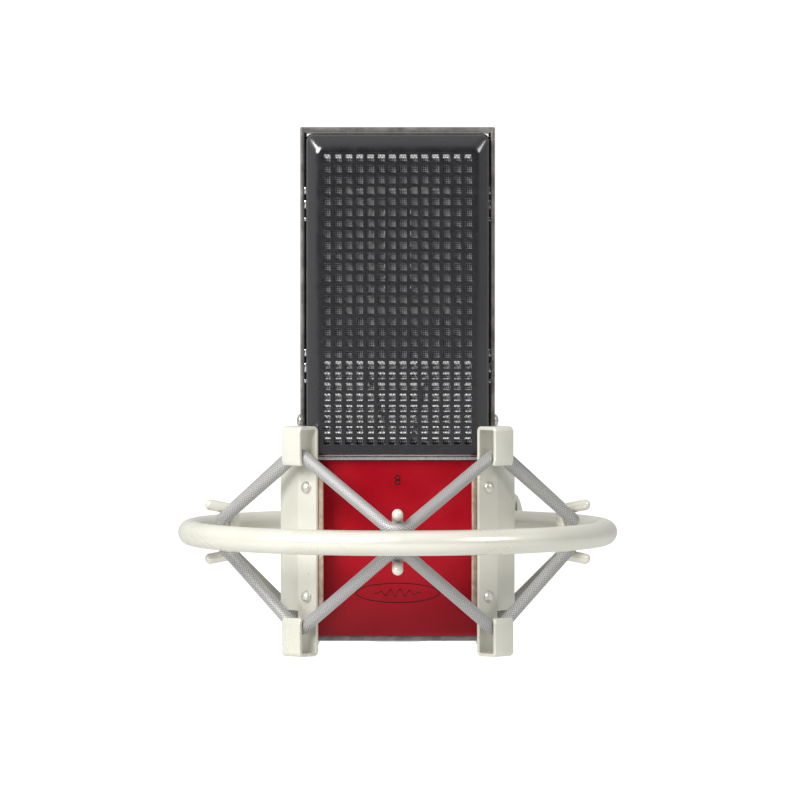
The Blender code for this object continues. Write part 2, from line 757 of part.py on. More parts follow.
def add_screw_holes(shape, side, facing, heights):
    place, width = quarter(side, facing)
    for z in heights:
        near, far = place(-3 * MM, z, width / 2), place(3 * MM, z, width / 2)
        cylinder(shape, near, far - near, 1.2 * MM, 0, 6 * MM, 12)


def add_pads(parent):
    for row, facing in (("front", -1), ("rear", 1)):
        for name, side in (("left", -1), ("right", 1)):
            shape = bmesh.new()
            place, width = quarter(side, facing)
            near, far = -SHEET - 0.2 * MM, -SHEET - 0.9 * MM
            outline = [(near, SIDE_LOW), (far, SIDE_LOW), (far, SIDE_TOP), (near, SIDE_TOP)]
            extrude(shape, outline, -1.2 * MM, width - 0.4 * MM, place)
            make(f"{row}_{name}_pad", shape, "felt", parent)


def add_strap(parent):
    """The flat strap that joins the two brackets behind the microphone."""
    half = SHEET / 2
    lip, crease = Vector((LIP_X, LIP_Y)), Vector((CREASE_X, CREASE_Y))
    run = (crease - lip).normalized()
    out = Vector((-run.y, run.x)) * (GAP + half)
    end = crease - run * 1.2 * MM + out
    bend = lip - run * 1.5 * MM + out
    path = [end, bend, Vector((-bend.x, bend.y)), Vector((-end.x, end.y))]
    outline = band(path, SHEET)
    shape = bmesh.new()
    middle = REAR_SCREWS[0]
    extrude(shape, outline, middle - STRAP_HALF, middle + STRAP_HALF, along_z)
    strap = make("rear_strap", shape, "cream_paint", parent, smooth=30)
    holes = bmesh.new()
    for side in (-1, 1):
        add_screw_holes(holes, side, 1, REAR_SCREWS)
    combine(strap, "DIFFERENCE", holes, parent)


def add_bracket_screws(parent):
    rows = (("front_upper", -1, FRONT_SCREWS[0]), ("front_lower", -1, FRONT_SCREWS[1]))
    for row, facing, z in (*rows, ("rear", 1, REAR_SCREWS[0])):
        seat = 0.1 * MM if facing < 0 else GAP + SHEET + 0.1 * MM
        for name, side in (("left", -1), ("right", 1)):
            place, width = quarter(side, facing)
            at, ahead = place(seat, z, width / 2), place(seat + 1, z, width / 2)
            shape = bmesh.new()
            length = seat + 0.9 * MM
            dome_screw(shape, at, ahead - at, 1.7 * MM, 1.1 * MM, 0.9 * MM, length)
            make(f"{row}_{name}_screw", shape, "steel", parent, smooth=40)


# ---------------------------------------------------------------- ring and cords


def ring_circle():
    steps = 64
    angles = [2 * math.pi * i / steps for i in range(steps)]
    return [(RING_RADIUS * math.cos(t), RING_RADIUS * math.sin(t), 0) for t in angles]


def add_ring(parent):
    """The ring with its four welded cord posts."""
    shape = bmesh.new()
    sweep(shape, ring_circle(), RING_TUBE, 12, closed=True)
    ring = make("shock_ring", shape, "cream_paint", parent, smooth=40)
    stubs = bmesh.new()
    for turn in range(4):
        spoke = Vector((math.cos(turn * math.pi / 2), math.sin(turn * math.pi / 2), 0))
        cylinder(stubs, (0, 0, 0), spoke, POST_WIRE * 0.93, POST_RADIUS, RING_RADIUS, 12)
    posts = bmesh.new()
    for turn in range(4):
        add_post(posts, Vector((math.cos(turn * math.pi / 2), math.sin(turn * math.pi / 2), 0)))
    combine(ring, "UNION", stubs, parent)
    combine(ring, "UNION", posts, parent)


def add_post(shape, spoke):
    """A bent wire whose two ends are splayed pins that reach out over and under the ring."""
    up = Vector((0, 0, 1))
    root_z = PIN_TIP_Z - (PIN_TIP_RADIUS - POST_RADIUS) * math.tan(PIN_SPLAY)
    corners = []
    for sign in (1, -1):
        tip = spoke * PIN_TIP_RADIUS + up * sign * PIN_TIP_Z
        root = spoke * POST_RADIUS + up * sign * root_z
        corners += [tip, root] if sign > 0 else [root, tip]
    path = rounded_path(corners, 1.8 * MM, 3, closed=False)
    sweep(shape, path, POST_WIRE, 10, closed=False, round_ends=True)


def bend_corners(seats, radius):
    """The sharp corners of a closed path whose rounded bends pass through the seats."""
    count = len(seats)
    corners = list(seats)
    for _ in range(8):
        moved = []
        for i, seat in enumerate(seats):
            towards = (corners[i - 1] - corners[i]).normalized()
            away = (corners[(i + 1) % count] - corners[i]).normalized()
            half = towards.angle(away) / 2
            moved.append(seat - (towards + away).normalized() * radius * (1 / math.sin(half) - 1))
        corners = moved
    return corners


def add_cord(name, pin_z, hook_z, parent):
    """A closed elastic loop that runs zigzag between the ring's pins and the cradle's hooks."""
    seats = []
    for i in range(4):
        turn = math.pi / 2 * i
        spoke = Vector((math.cos(turn), math.sin(turn), 0))
        seats.append(spoke * CORD_PIN_RADIUS + Vector((0, 0, pin_z)))
        side = 1 if i in (0, 3) else -1
        facing = 1 if i in (0, 1) else -1
        place, width = quarter(side, facing)
        seats.append(place(CORD_IN_HOOK, hook_z, width / 2))
    corners = bend_corners(seats, CORD_BEND)
    shape = bmesh.new()
    sweep(shape, rounded_path(corners, CORD_BEND, 5, closed=True), CORD, 8, closed=True)
    make(name, shape, "cord", parent, smooth=60)


# ---------------------------------------------------------------- stand joint


def add_ring_lug(parent):
    shape = bmesh.new()
    arc_points = arc((0, 0), TONGUE_RADIUS, 130, -130, 20)
    neck = [mm(-16.5, -4.5), mm(-16.5, 4.5)]
    outline = [*neck, *arc_points]
    extrude(shape, outline, -TONGUE_HALF, TONGUE_HALF, along_x)
    at = (0, PIVOT_Y, 0)
    lug = make("ring_lug", shape, "cream_paint", parent, at, smooth=30)
    cuts = bmesh.new()
    cylinder(cuts, (0, 0, 0), (1, 0, 0), BOLT + GAP, -12 * MM, 12 * MM, 20)
    combine(lug, "DIFFERENCE", cuts, parent, at)
    groove = bmesh.new()
    sweep(groove, ring_circle(), RING_TUBE + GAP, 12, closed=True)
    combine(lug, "DIFFERENCE", groove, parent)


def add_stand(parent):
    at = (0, PIVOT_Y, 0)
    inner = TONGUE_HALF + GAP * 2 + WASHER_SHEET
    shape = bmesh.new()
    profile = [
        (0, ADAPTER_LOW + THREAD_DEPTH),
        (THREAD_RADIUS, ADAPTER_LOW + THREAD_DEPTH),
        (THREAD_RADIUS, ADAPTER_LOW),
        (BASE_RADIUS, ADAPTER_LOW),
        (BASE_RADIUS, ADAPTER_TOP),
        (0, ADAPTER_TOP),
    ]
    turned(shape, profile, (0, 0, 0), (0, 0, 1), 36)
    adapter = make("stand_adapter", shape, "cream_paint", parent, at, smooth=40)
    cheeks = bmesh.new()
    foot = ADAPTER_TOP - 2 * MM
    top_arc = arc((0, 0), TONGUE_RADIUS, 0, 180, 14)
    outline = [(TONGUE_RADIUS, foot), *top_arc, (-TONGUE_RADIUS, foot)]
    for side in (-1, 1):
        near, far = sorted((side * inner, side * (inner + CHEEK)))
        extrude(cheeks, outline, near, far, along_x)
    combine(adapter, "UNION", cheeks, parent, at)
    bore = bmesh.new()
    cylinder(bore, (0, 0, 0), (1, 0, 0), BOLT + GAP, -20 * MM, 20 * MM, 20)
    combine(adapter, "DIFFERENCE", bore, parent, at)
    low = TONGUE_HALF + GAP
    for name, side in (("left_washer", -1), ("right_washer", 1)):
        shape = bmesh.new()
        near, far = sorted((side * low, side * (low + WASHER_SHEET)))
        ring_band(shape, (0, 0, 0), (1, 0, 0), BOLT + GAP, 6.5 * MM, near, far, 20)
        make(name, shape, "black_plastic", parent, at, smooth=40)
    shape = bmesh.new()
    low, high = ADAPTER_LOW + GAP, ADAPTER_LOW + THREAD_DEPTH - GAP
    ring_band(shape, (0, 0, 0), (0, 0, 1), 4.8 * MM, THREAD_RADIUS - GAP, low, high, 32)
    make("thread_reducer", shape, "brass", parent, at, smooth=40)
    outside = inner + CHEEK
    shape = bmesh.new()
    head = [
        (5.6 * MM * math.cos(math.pi / 3 * i), 5.6 * MM * math.sin(math.pi / 3 * i)) for i in range(6)
    ]
    extrude(shape, head, -outside - 3.4 * MM, -outside - 0.1 * MM, along_x)
    bolt = make("pivot_bolt", shape, "steel", parent, at, smooth=40)
    shank = bmesh.new()
    cylinder(shank, (0, 0, 0), (1, 0, 0), BOLT, -outside - 1 * MM, 25 * MM, 20)
    combine(bolt, "UNION", shank, parent, at)


def add_knob(parent):
    at = (0, PIVOT_Y, 0)
    shape = bmesh.new()
    face = TONGUE_HALF + GAP * 3 + WASHER_SHEET + CHEEK
    bore = BOLT + GAP
    profile = [
        (0, 26 * MM), (bore, 26 * MM), (bore, face), (6 * MM, face), (6 * MM, 18 * MM),
        (9.6 * MM, 19.5 * MM), (KNOB_RADIUS, 21 * MM), (KNOB_RADIUS, 30.6 * MM), (9.2 * MM, 32.2 * MM),
        (6.9 * MM, 33.9 * MM), (4.4 * MM, 35 * MM), (1.8 * MM, KNOB_END - 0.1 * MM), (0, KNOB_END),
    ]
    turned(shape, profile, (0, 0, 0), (1, 0, 0), 30, 5, 1.6 * MM, 9 * MM)
    make("clamp_knob", shape, "cream_paint", parent, at, smooth=40)


# ---------------------------------------------------------------- assembly


def build():
    clear_scene()
    stand = empty("stand", (0, 0, RING_Z))
    stand["at"] = (0, 0, 0)
    tilt_axis = empty("tilt_axis", (0, PIVOT_Y, 0), stand)
    knob_axis = empty("knob_axis", (0, PIVOT_Y, 0), stand)
    cradle = empty("cradle", (0, 0, 0), tilt_axis)
    microphone = empty("microphone", (0, 0, 0), cradle)

    add_perimeter_frame(microphone)
    add_bottom_plate(microphone)
    add_cover("front_grille_cover", -1, microphone)
    add_cover("rear_grille_cover", 1, microphone)
    add_mesh_sheet("front_mesh", -1, microphone)
    add_mesh_sheet("rear_mesh", 1, microphone)
    add_panel("front_panel", -1, microphone)
    add_panel("rear_panel", 1, microphone)
    add_trim("front_trim", -1, microphone)
    add_trim("rear_trim", 1, microphone)
    add_body_screws(microphone)
    add_socket(microphone)
    add_motor(microphone)
    add_transformer(microphone)

    add_bracket("left_bracket", -1, cradle)
    add_bracket("right_bracket", 1, cradle)
    add_pads(cradle)
    add_strap(cradle)
    add_bracket_screws(cradle)

    add_ring(tilt_axis)
    add_cord("upper_cord", CORD_PIN_Z, CORD_HOOK_TOP, tilt_axis)
    add_cord("lower_cord", -CORD_PIN_Z, CORD_HOOK_LOW, tilt_axis)
    add_ring_lug(tilt_axis)

    add_stand(stand)
    add_knob(knob_axis)


build()
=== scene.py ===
"""Looks of the ribbon microphone and its shock mount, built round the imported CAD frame."""

import json
import math

import bmesh
import bpy
from mathutils import Matrix, Vector, noise


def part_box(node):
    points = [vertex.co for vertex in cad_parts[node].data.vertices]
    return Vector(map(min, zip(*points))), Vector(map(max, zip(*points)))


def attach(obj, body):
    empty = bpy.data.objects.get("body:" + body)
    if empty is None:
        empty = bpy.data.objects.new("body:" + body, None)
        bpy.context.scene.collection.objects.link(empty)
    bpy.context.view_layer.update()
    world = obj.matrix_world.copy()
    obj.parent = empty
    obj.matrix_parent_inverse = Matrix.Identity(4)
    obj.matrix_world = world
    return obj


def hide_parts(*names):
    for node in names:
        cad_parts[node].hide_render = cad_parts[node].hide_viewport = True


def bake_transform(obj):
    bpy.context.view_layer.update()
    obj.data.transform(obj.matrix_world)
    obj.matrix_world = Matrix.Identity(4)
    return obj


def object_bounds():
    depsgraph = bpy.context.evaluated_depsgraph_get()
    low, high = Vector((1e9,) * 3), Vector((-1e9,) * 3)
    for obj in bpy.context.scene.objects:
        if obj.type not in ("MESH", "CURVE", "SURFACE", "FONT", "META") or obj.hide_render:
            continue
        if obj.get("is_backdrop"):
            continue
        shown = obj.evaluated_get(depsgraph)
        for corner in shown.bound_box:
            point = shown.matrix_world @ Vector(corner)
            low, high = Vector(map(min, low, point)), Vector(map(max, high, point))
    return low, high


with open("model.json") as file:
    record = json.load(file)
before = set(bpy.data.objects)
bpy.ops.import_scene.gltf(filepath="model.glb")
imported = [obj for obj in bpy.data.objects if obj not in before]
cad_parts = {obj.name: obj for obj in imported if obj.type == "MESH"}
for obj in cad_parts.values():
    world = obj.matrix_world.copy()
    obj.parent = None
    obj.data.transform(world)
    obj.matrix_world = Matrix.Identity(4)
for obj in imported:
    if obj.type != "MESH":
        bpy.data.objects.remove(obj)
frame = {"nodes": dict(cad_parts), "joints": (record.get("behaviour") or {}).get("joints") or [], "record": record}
cad_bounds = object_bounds()

MM = 0.001

# Places read from the frame
JOINTS = {joint["name"]: joint for joint in frame["joints"]}
PIVOT = Vector(JOINTS["tilt"]["pos_m"])
RING_Z = PIVOT.z
COVER_LOW, COVER_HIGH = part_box("front_grille_cover")
PANEL_LOW, PANEL_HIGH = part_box("front_panel")
BODY_LOW, BODY_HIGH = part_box("perimeter_frame")
BASE_LOW, BASE_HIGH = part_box("bottom_plate")
RING_LOW, RING_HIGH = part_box("shock_ring")

# Grille
HOLE_PITCH = 2.957 * MM
HOLE_SIZE = 1.93 * MM
HOLE_ROUND = 0.32 * MM
COLUMNS, ROWS = 14, 27
FIELD_MIDDLE = RING_Z + 64.2 * MM
COVER_SHEET = 0.6 * MM
TOP_WALL = 1.5 * MM
PANEL_LIP = PANEL_LOW.z - (RING_Z - 27.7 * MM)
SIDE_SLOPE, TOP_SLOPE, LOW_SLOPE = 3.8 * MM, 5.0 * MM, 0.7 * MM
WIRE_PITCH = 0.52 * MM
WIRE = 0.07 * MM
MESH_DEPTH = 1.3 * MM
MESH_FLAP = 1.0 * MM  # the mesh runs on behind the cover's lower edge

# Shock mount
RING_TUBE = 3.4 * MM
RING_RADIUS = RING_HIGH.x - RING_TUBE
POST_WIRE = 1.5 * MM
POST_RADIUS = 45.0 * MM
PIN_TIP = 52.9 * MM
PIN_TIP_Z = 7.7 * MM
PIN_SPLAY = math.radians(11)
CORD = 1.68 * MM
CORD_PIN_RADIUS = 48.3 * MM
CORD_PIN_Z = 3.33 * MM
CORD_BEND = 4.2 * MM
CORD_HOOKS = (22.0 * MM, -25.2 * MM)

# Cradle, outer face of one quarter seen from above
SHEET = 1.0 * MM
LIP = Vector((22.2, 21.2)) * MM
CREASE = Vector((27.2, 16.2)) * MM
SIDE_X, SIDE_Y = 32.0 * MM, 8.6 * MM
SIDE_TOP, SIDE_LOW = 18.9 * MM, -20.7 * MM
SIDE_DIP = 6.5 * MM
HOOK_TOP, HOOK_LOW = 29.8 * MM, -32.8 * MM
HOOK_OUT, HOOK_LEG, HOOK_CORNER = 6.2 * MM, 10.4 * MM, 0.95 * MM
REAR_DROP = 1.6 * MM
CORD_IN_HOOK = 3.05 * MM
STRAP_HALF = 7.0 * MM
STRAP_MIDDLE = -1.8 * MM

# Stand joint
BASE_RADIUS = 12.7 * MM

# Camera
CAMERA_DISTANCE = 2000 * MM
CAMERA_RISE = 109.0 * MM
CAMERA_SIDE = 0.65 * MM
CAMERA_PITCH = math.radians(2.085)
LENS = 328.2

# Light: axis, from, to, low and high of each ramp of the room's glow; direction, size and power of a softbox
ROOM_GLOW = ((1, -0.98, -0.3, 0.02, 0.62), (0, -0.9, 0.9, 1.2, 0.8), (2, -0.9, 0.6, 0.40, 1.1))
SOFTBOX_REACH = 1.4
SOFTBOXES = (
    ("key_softbox", (-0.52, -0.72, 0.5), 0.66, 22),
    ("right_softbox", (0.74, -0.6, 0.48), 0.4, 4),
)


# ---------------------------------------------------------------- node materials


class Look:
    """A node material that is built step by step."""

    def __init__(self, name):
        self.material = bpy.data.materials.new(name)
        self.material.use_nodes = True
        self.tree = self.material.node_tree
        self.shader = self.tree.nodes["Principled BSDF"]
        self.place = self.add("ShaderNodeTexCoord").outputs["Object"]

    def add(self, kind, settings=None, **inputs):
        made = self.tree.nodes.new(kind)
        for key, value in (settings or {}).items():
            setattr(made, key, value)
        for key, value in inputs.items():
            self.feed(made.inputs[key.replace("_", " ")], value)
        return made

    def feed(self, socket, value):
        if isinstance(value, bpy.types.NodeSocket):
            self.tree.links.new(value, socket)
        else:
            socket.default_value = value

    def set(self, **inputs):
        for key, value in inputs.items():
            self.feed(self.shader.inputs[key.replace("_", " ")], value)
        return self

    def noise(self, scale, detail=3.0, rough=0.5, stretch=(1, 1, 1)):
        mapping = self.add("ShaderNodeMapping", Vector=self.place, Scale=stretch)
        made = self.add(
            "ShaderNodeTexNoise", Vector=mapping.outputs[0], Scale=scale, Detail=detail, Roughness=rough
        )
        return made.outputs["Fac"]

    def span(self, fac, low, high, start=0.35, end=0.65):
        made = self.add("ShaderNodeMapRange", Value=fac)
        made.inputs["From Min"].default_value = start
        made.inputs["From Max"].default_value = end
        self.feed(made.inputs["To Min"], low)
        self.feed(made.inputs["To Max"], high)
        return made.outputs[0]

    def math(self, operation, one, two=0.0):
        made = self.add("ShaderNodeMath", {"operation": operation})
        self.feed(made.inputs[0], one)
        self.feed(made.inputs[1], two)
        return made.outputs[0]

    def tint(self, fac, one, two):
        made = self.add("ShaderNodeMix", {"data_type": "RGBA"})
        self.feed(made.inputs["Factor"], fac)
        for socket, colour in ((made.inputs[6], one), (made.inputs[7], two)):
            self.feed(socket, colour if isinstance(colour, bpy.types.NodeSocket) else (*colour, 1.0))
        return made.outputs[2]

    def bump(self, height, strength, distance, under=None):
        made = self.add("ShaderNodeBump", Height=height, Strength=strength, Distance=distance)
        if under is not None:
            self.feed(made.inputs["Normal"], under)
        return made.outputs[0]


def pearl_paint():
    look = Look("pearl_paint")
    flakes = look.noise(5200, 1.0)
    clouds = look.noise(60, 3.0)
    peel = look.noise(900, 2.0)
    base = look.tint(look.span(clouds, 0.0, 1.0), (0.70, 0.69, 0.59), (0.76, 0.75, 0.66))
    wear = look.span(look.noise(38, 2.0), 0.0, 0.06, 0.4, 0.9)
    base = look.tint(wear, base, (0.55, 0.54, 0.49))
    normal = look.bump(peel, 0.10, 0.00006)
    normal = look.bump(flakes, 0.12, 0.00002, normal)
    look.set(Base_Color=base, Metallic=look.span(flakes, 0.22, 0.42), Normal=normal)
    look.set(Roughness=look.span(clouds, 0.27, 0.36), Coat_Weight=0.35, Coat_Roughness=0.29)
    return look.material


def metal(name, colour, darker, rough, grain=(1, 1, 1), speckle=0.1, metallic=1.0):
    """A bare or plated metal with fine grain, blotches and a little tarnish."""
    look = Look(name)
    lines = look.noise(2600, 4.0, 0.6, grain)
    blotch = look.noise(180, 5.0, 0.6)
    base = look.tint(look.span(blotch, 0.0, 1.0), darker, colour)
    normal = look.bump(lines, speckle, 0.00004)
    look.set(Base_Color=base, Metallic=metallic, Normal=normal)
    look.set(Roughness=look.span(lines, rough * 0.8, rough * 1.25))
    return look.material


def dark_nickel():
    look = Look("dark_nickel")
    grain = look.noise(1500, 6.0, 0.7, (1, 1, 0.35))
    blotch = look.noise(260, 6.0, 0.7)
    base = look.tint(look.span(blotch, 0.0, 1.0), (0.14, 0.131, 0.12), (0.26, 0.247, 0.233))
    base = look.tint(look.span(grain, 0.0, 0.35, 0.55, 0.75), base, (0.40, 0.38, 0.36))
    normal = look.bump(grain, 0.35, 0.00008)
    look.set(Base_Color=base, Metallic=0.85, Normal=normal)
    look.set(Roughness=look.span(blotch, 0.34, 0.5))
    return look.material


def black_lacquer():
    look = Look("black_lacquer")
    peel = look.noise(420, 2.0)
    dust = look.noise(3000, 2.0, 0.6)
    base = look.tint(look.span(dust, 0.0, 1.0, 0.62, 0.75), (0.012, 0.012, 0.014), (0.05, 0.05, 0.055))
    look.set(Base_Color=base, Metallic=0.0, Normal=look.bump(peel, 0.12, 0.00008))
    look.set(Roughness=look.span(peel, 0.17, 0.25), Coat_Weight=0.8, Coat_Roughness=0.11)
    look.set(Specular_IOR_Level=0.6)
    return look.material


def red_lacquer():
    look = Look("red_lacquer")
    flakes = look.noise(4200, 2.0)
    clouds = look.noise(45, 4.0, 0.6)
    peel = look.noise(700, 2.0)
    base = look.tint(look.span(clouds, 0.0, 1.0), (0.40, 0.002, 0.010), (0.47, 0.006, 0.018))
    split = look.add("ShaderNodeSeparateXYZ", Vector=look.place)
    # painted shade: the red is blended darker towards the bottom of the panel, below the ring
    lower = look.span(split.outputs[2], 0.75, 0.0, RING_Z - 27 * MM, RING_Z - 2 * MM)
    base = look.tint(lower, base, (0.17, 0.004, 0.010))
    normal = look.bump(peel, 0.1, 0.00005)
    normal = look.bump(flakes, 0.1, 0.00002, normal)
    look.set(Base_Color=base, Metallic=look.span(flakes, 0.25, 0.5), Normal=normal)
    look.set(Roughness=look.span(clouds, 0.32, 0.4), Coat_Weight=0.06, Coat_Roughness=0.2)
    look.set(Specular_IOR_Level=0.25)
    return look.material


def braided_cord():
    """Two families of threads that cross on the sleeve, from the sweep's own length and turn."""
    look = Look("braided_cord")
    uv = look.add("ShaderNodeUVMap", {"uv_map": "sleeve"}).outputs[0]
    split = look.add("ShaderNodeSeparateXYZ", Vector=uv)
    length, turn = split.outputs[0], split.outputs[1]
    waves = []
    for sign in (1, -1):
        along = look.math("MULTIPLY", length, 8200.0)
        around = look.math("MULTIPLY", turn, sign * 12 * math.tau)
        waves.append(look.math("SINE", look.math("ADD", along, around)))
    woven = look.math("MAXIMUM", waves[0], waves[1])
    fibre = look.noise(5000, 3.0, 0.6)
    base = look.tint(look.span(woven, 0.0, 1.0, -0.6, 1.0), (0.19, 0.19, 0.185), (0.58, 0.575, 0.565))
    base = look.tint(look.span(fibre, 0.0, 0.25), base, (0.20, 0.195, 0.19))
    normal = look.bump(woven, 0.5, 0.00008)
    normal = look.bump(fibre, 0.2, 0.00005, normal)
    look.set(Base_Color=base, Roughness=0.42, Normal=normal, Sheen_Weight=0.15, Sheen_Roughness=0.4)
    look.set(Specular_IOR_Level=0.6, Metallic=0.35)
    return look.material


def felt():
    look = Look("felt")
    fibre = look.noise(1800, 8.0, 0.75)
    tufts = look.noise(420, 6.0, 0.7)
    base = look.tint(look.span(tufts, 0.0, 1.0), (0.30, 0.21, 0.15), (0.52, 0.40, 0.29))
    normal = look.bump(fibre, 0.8, 0.00025)
    look.set(Base_Color=base, Roughness=0.95, Normal=normal, Sheen_Weight=0.5)
    return look.material


def plastic(name, colour, rough, coarse=1400):
    look = Look(name)
    grain = look.noise(coarse, 3.0)
    blotch = look.noise(120, 4.0)
    lighter = tuple(min(1.0, c * 1.5 + 0.01) for c in colour)
    base = look.tint(look.span(blotch, 0.0, 1.0), colour, lighter)
    look.set(Base_Color=base, Roughness=look.span(blotch, rough * 0.85, rough * 1.15))
    look.set(Normal=look.bump(grain, 0.25, 0.00006))
    return look.material


def wound_copper():
    look = Look("wound_copper")
    split = look.add("ShaderNodeSeparateXYZ", Vector=look.place)
    turns = look.math("SINE", look.math("MULTIPLY", split.outputs[2], 21000.0))
    base = look.tint(look.span(turns, 0.0, 1.0, -1.0, 1.0), (0.30, 0.09, 0.04), (0.72, 0.30, 0.15))
    look.set(Base_Color=base, Metallic=0.8, Roughness=0.35, Normal=look.bump(turns, 0.5, 0.0001))
    return look.material


def laminated_steel():
    look = Look("laminated_steel")
    split = look.add("ShaderNodeSeparateXYZ", Vector=look.place)
    sheets = look.math("SINE", look.math("MULTIPLY", split.outputs[1], 15000.0))
    rust = look.noise(300, 5.0)
    base = look.tint(look.span(rust, 0.0, 1.0), (0.12, 0.12, 0.125), (0.26, 0.25, 0.24))
    look.set(Base_Color=base, Metallic=0.9, Roughness=0.45, Normal=look.bump(sheets, 0.4, 0.0001))
    return look.material


def ink():
    look = Look("printed_ink")
    grain = look.noise(3000, 3.0)
    base = look.tint(look.span(grain, 0.0, 1.0), (0.004, 0.002, 0.002), (0.02, 0.006, 0.008))
    look.set(Base_Color=base, Roughness=0.75, Specular_IOR_Level=0.2)
    return look.material


def pale_floor():
    """A matt pale floor that reads as bright paper from the camera."""
    look = Look("pale_floor")
    grain = look.noise(40, 4.0)
    base = look.tint(look.span(grain, 0.0, 1.0), (0.55, 0.55, 0.55), (0.6, 0.6, 0.6))
    seen = look.add("ShaderNodeLightPath").outputs["Is Camera Ray"]
    glow = look.span(seen, 0.2, 0.85, 0.0, 1.0)
    look.set(Base_Color=base, Roughness=0.9, Emission_Color=(1, 1, 1, 1), Emission_Strength=glow)
    return look.material


LOOKS = {
    "paint": pearl_paint(),
    "nickel": dark_nickel(),
    "lacquer": black_lacquer(),
    "red": red_lacquer(),
    "cord": braided_cord(),
    "felt": felt(),
    "rivet": metal("rivet_nickel", (0.80, 0.79, 0.73), (0.70, 0.69, 0.64), 0.42),
    "steel": metal("plated_steel", (0.66, 0.66, 0.65), (0.5, 0.5, 0.49), 0.28, (1, 1, 6)),
    "mesh": metal("silver_wire", (0.66, 0.66, 0.67), (0.50, 0.50, 0.51), 0.5, metallic=0.5),
    "chrome": metal("chrome", (0.86, 0.86, 0.87), (0.78, 0.78, 0.79), 0.08, speckle=0.03),
    "trim": metal("satin_trim", (0.80, 0.80, 0.80), (0.72, 0.72, 0.72), 0.3, speckle=0.03),
    "brass": metal("brass", (0.78, 0.58, 0.30), (0.62, 0.44, 0.20), 0.28),
    "magnet": metal("ground_magnet", (0.30, 0.30, 0.31), (0.19, 0.19, 0.20), 0.4, (8, 1, 1)),
    "foil": metal("ribbon_foil", (0.42, 0.42, 0.43), (0.30, 0.30, 0.31), 0.3),
    "plate": plastic("matt_black_plate", (0.016, 0.016, 0.017), 0.6),
    "plastic": plastic("moulded_black", (0.02, 0.02, 0.021), 0.42),
    "wire": plastic("dark_insulation", (0.022, 0.022, 0.024), 0.4),
    "copper": wound_copper(),
    "core": laminated_steel(),
    "ink": ink(),
    "floor": pale_floor(),
}


# ---------------------------------------------------------------- building helpers


def piece(name, shape, look, body, smooth=35, replaces=()):
    """A finished piece from a bmesh in the row's frame, riding on a body."""
    bmesh.ops.recalc_face_normals(shape, faces=shape.faces)
    mesh = bpy.data.meshes.new(name)
    shape.to_mesh(mesh)
    shape.free()
    mesh.shade_smooth()
    mesh.set_sharp_from_angle(angle=math.radians(smooth))
    mesh.materials.append(LOOKS[look])
    made = bpy.data.objects.new(name, mesh)
    bpy.context.scene.collection.objects.link(made)
    if body:
        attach(made, body)
    if replaces:
        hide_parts(*replaces)
    return made


def bevel(made, width, segments=3, angle=40):
    modifier = made.modifiers.new("edges", "BEVEL")
    modifier.width = width
    modifier.segments = segments
    modifier.limit_method = "ANGLE"
    modifier.angle_limit = math.radians(angle)
    modifier.harden_normals = False
    return made


def arc(centre, radius, start, end, steps):
    angles = [math.radians(start + (end - start) * i / steps) for i in range(steps + 1)]
    return [(centre[0] + radius * math.cos(t), centre[1] + radius * math.sin(t)) for t in angles]


def rounded_rectangle(low, high, radius, steps=5):
    """Points of a rectangle from (low a, low b) to (high a, high b) with round corners."""
    corners = (
        ((high[0] - radius, high[1] - radius), 0),
        ((low[0] + radius, high[1] - radius), 90),
        ((low[0] + radius, low[1] + radius), 180),
        ((high[0] - radius, low[1] + radius), 270),
    )
    return [p for centre, turn in corners for p in arc(centre, radius, turn, turn + 90, steps)]


def join_loops(shape, rings, closed=False, caps=True):
    count = len(rings[0])
    pairs = list(zip(rings, rings[1:]))
    if closed:
        pairs.append((rings[-1], rings[0]))
    for one, two in pairs:
        for i in range(count):
            j = (i + 1) % count
            shape.faces.new((one[i], one[j], two[j], two[i]))
    if caps and not closed:
        shape.faces.new(rings[0][::-1])
        shape.faces.new(rings[-1])


def rings_of(shape, loops):
    return [[shape.verts.new(p) for p in loop] for loop in loops]


def slab(shape, outline_at, depths, place):
    """A slab with rounded edges: outline_at(inset) gives its outline, depths the (inset, depth) run."""
    loops = [[place(a, b, depth) for a, b in outline_at(inset)] for inset, depth in depths]
    join_loops(shape, rings_of(shape, loops))


def edge_run(near, far, radius, steps=4):
    """(inset, depth) pairs that round both edges of a slab between two depths."""
    sign = 1 if far > near else -1
    run = []
    for i in range(steps + 1):
        t = math.pi / 2 * i / steps
        run.append((radius * (1 - math.sin(t)), near + sign * radius * (1 - math.cos(t))))
    for i in range(steps + 1):
        t = math.pi / 2 * (1 - i / steps)
        run.append((radius * (1 - math.sin(t)), far - sign * radius * (1 - math.cos(t))))
    return run


def turned(shape, profile, centre, axis, segments=48, lobes=0, lobe_depth=0.0, lobed_from=0.0):
    axis = Vector(axis).normalized()
    side = axis.orthogonal().normalized()
    other = axis.cross(side)
    rings = []
    for radius, height in profile:
        if radius == 0:
            rings.append([shape.verts.new(Vector(centre) + axis * height)])
            continue
        ring = []
        for i in range(segments):
            t = math.tau * i / segments
            lobe = lobe_depth * 0.5 * (1 - math.cos(lobes * t)) if radius > lobed_from else 0.0
            spoke = side * math.cos(t) + other * math.sin(t)
            ring.append(shape.verts.new(Vector(centre) + axis * height + spoke * (radius - lobe)))
        rings.append(ring)
    pairs = list(zip(rings, rings[1:]))
    if profile[0][0] > 0:
        pairs.append((rings[-1], rings[0]))
    for one, two in pairs:
        for i in range(segments):
            j = (i + 1) % segments
            corners = [one[i % len(one)], one[j % len(one)], two[j % len(two)], two[i % len(two)]]
            shape.faces.new(list(dict.fromkeys(corners)))


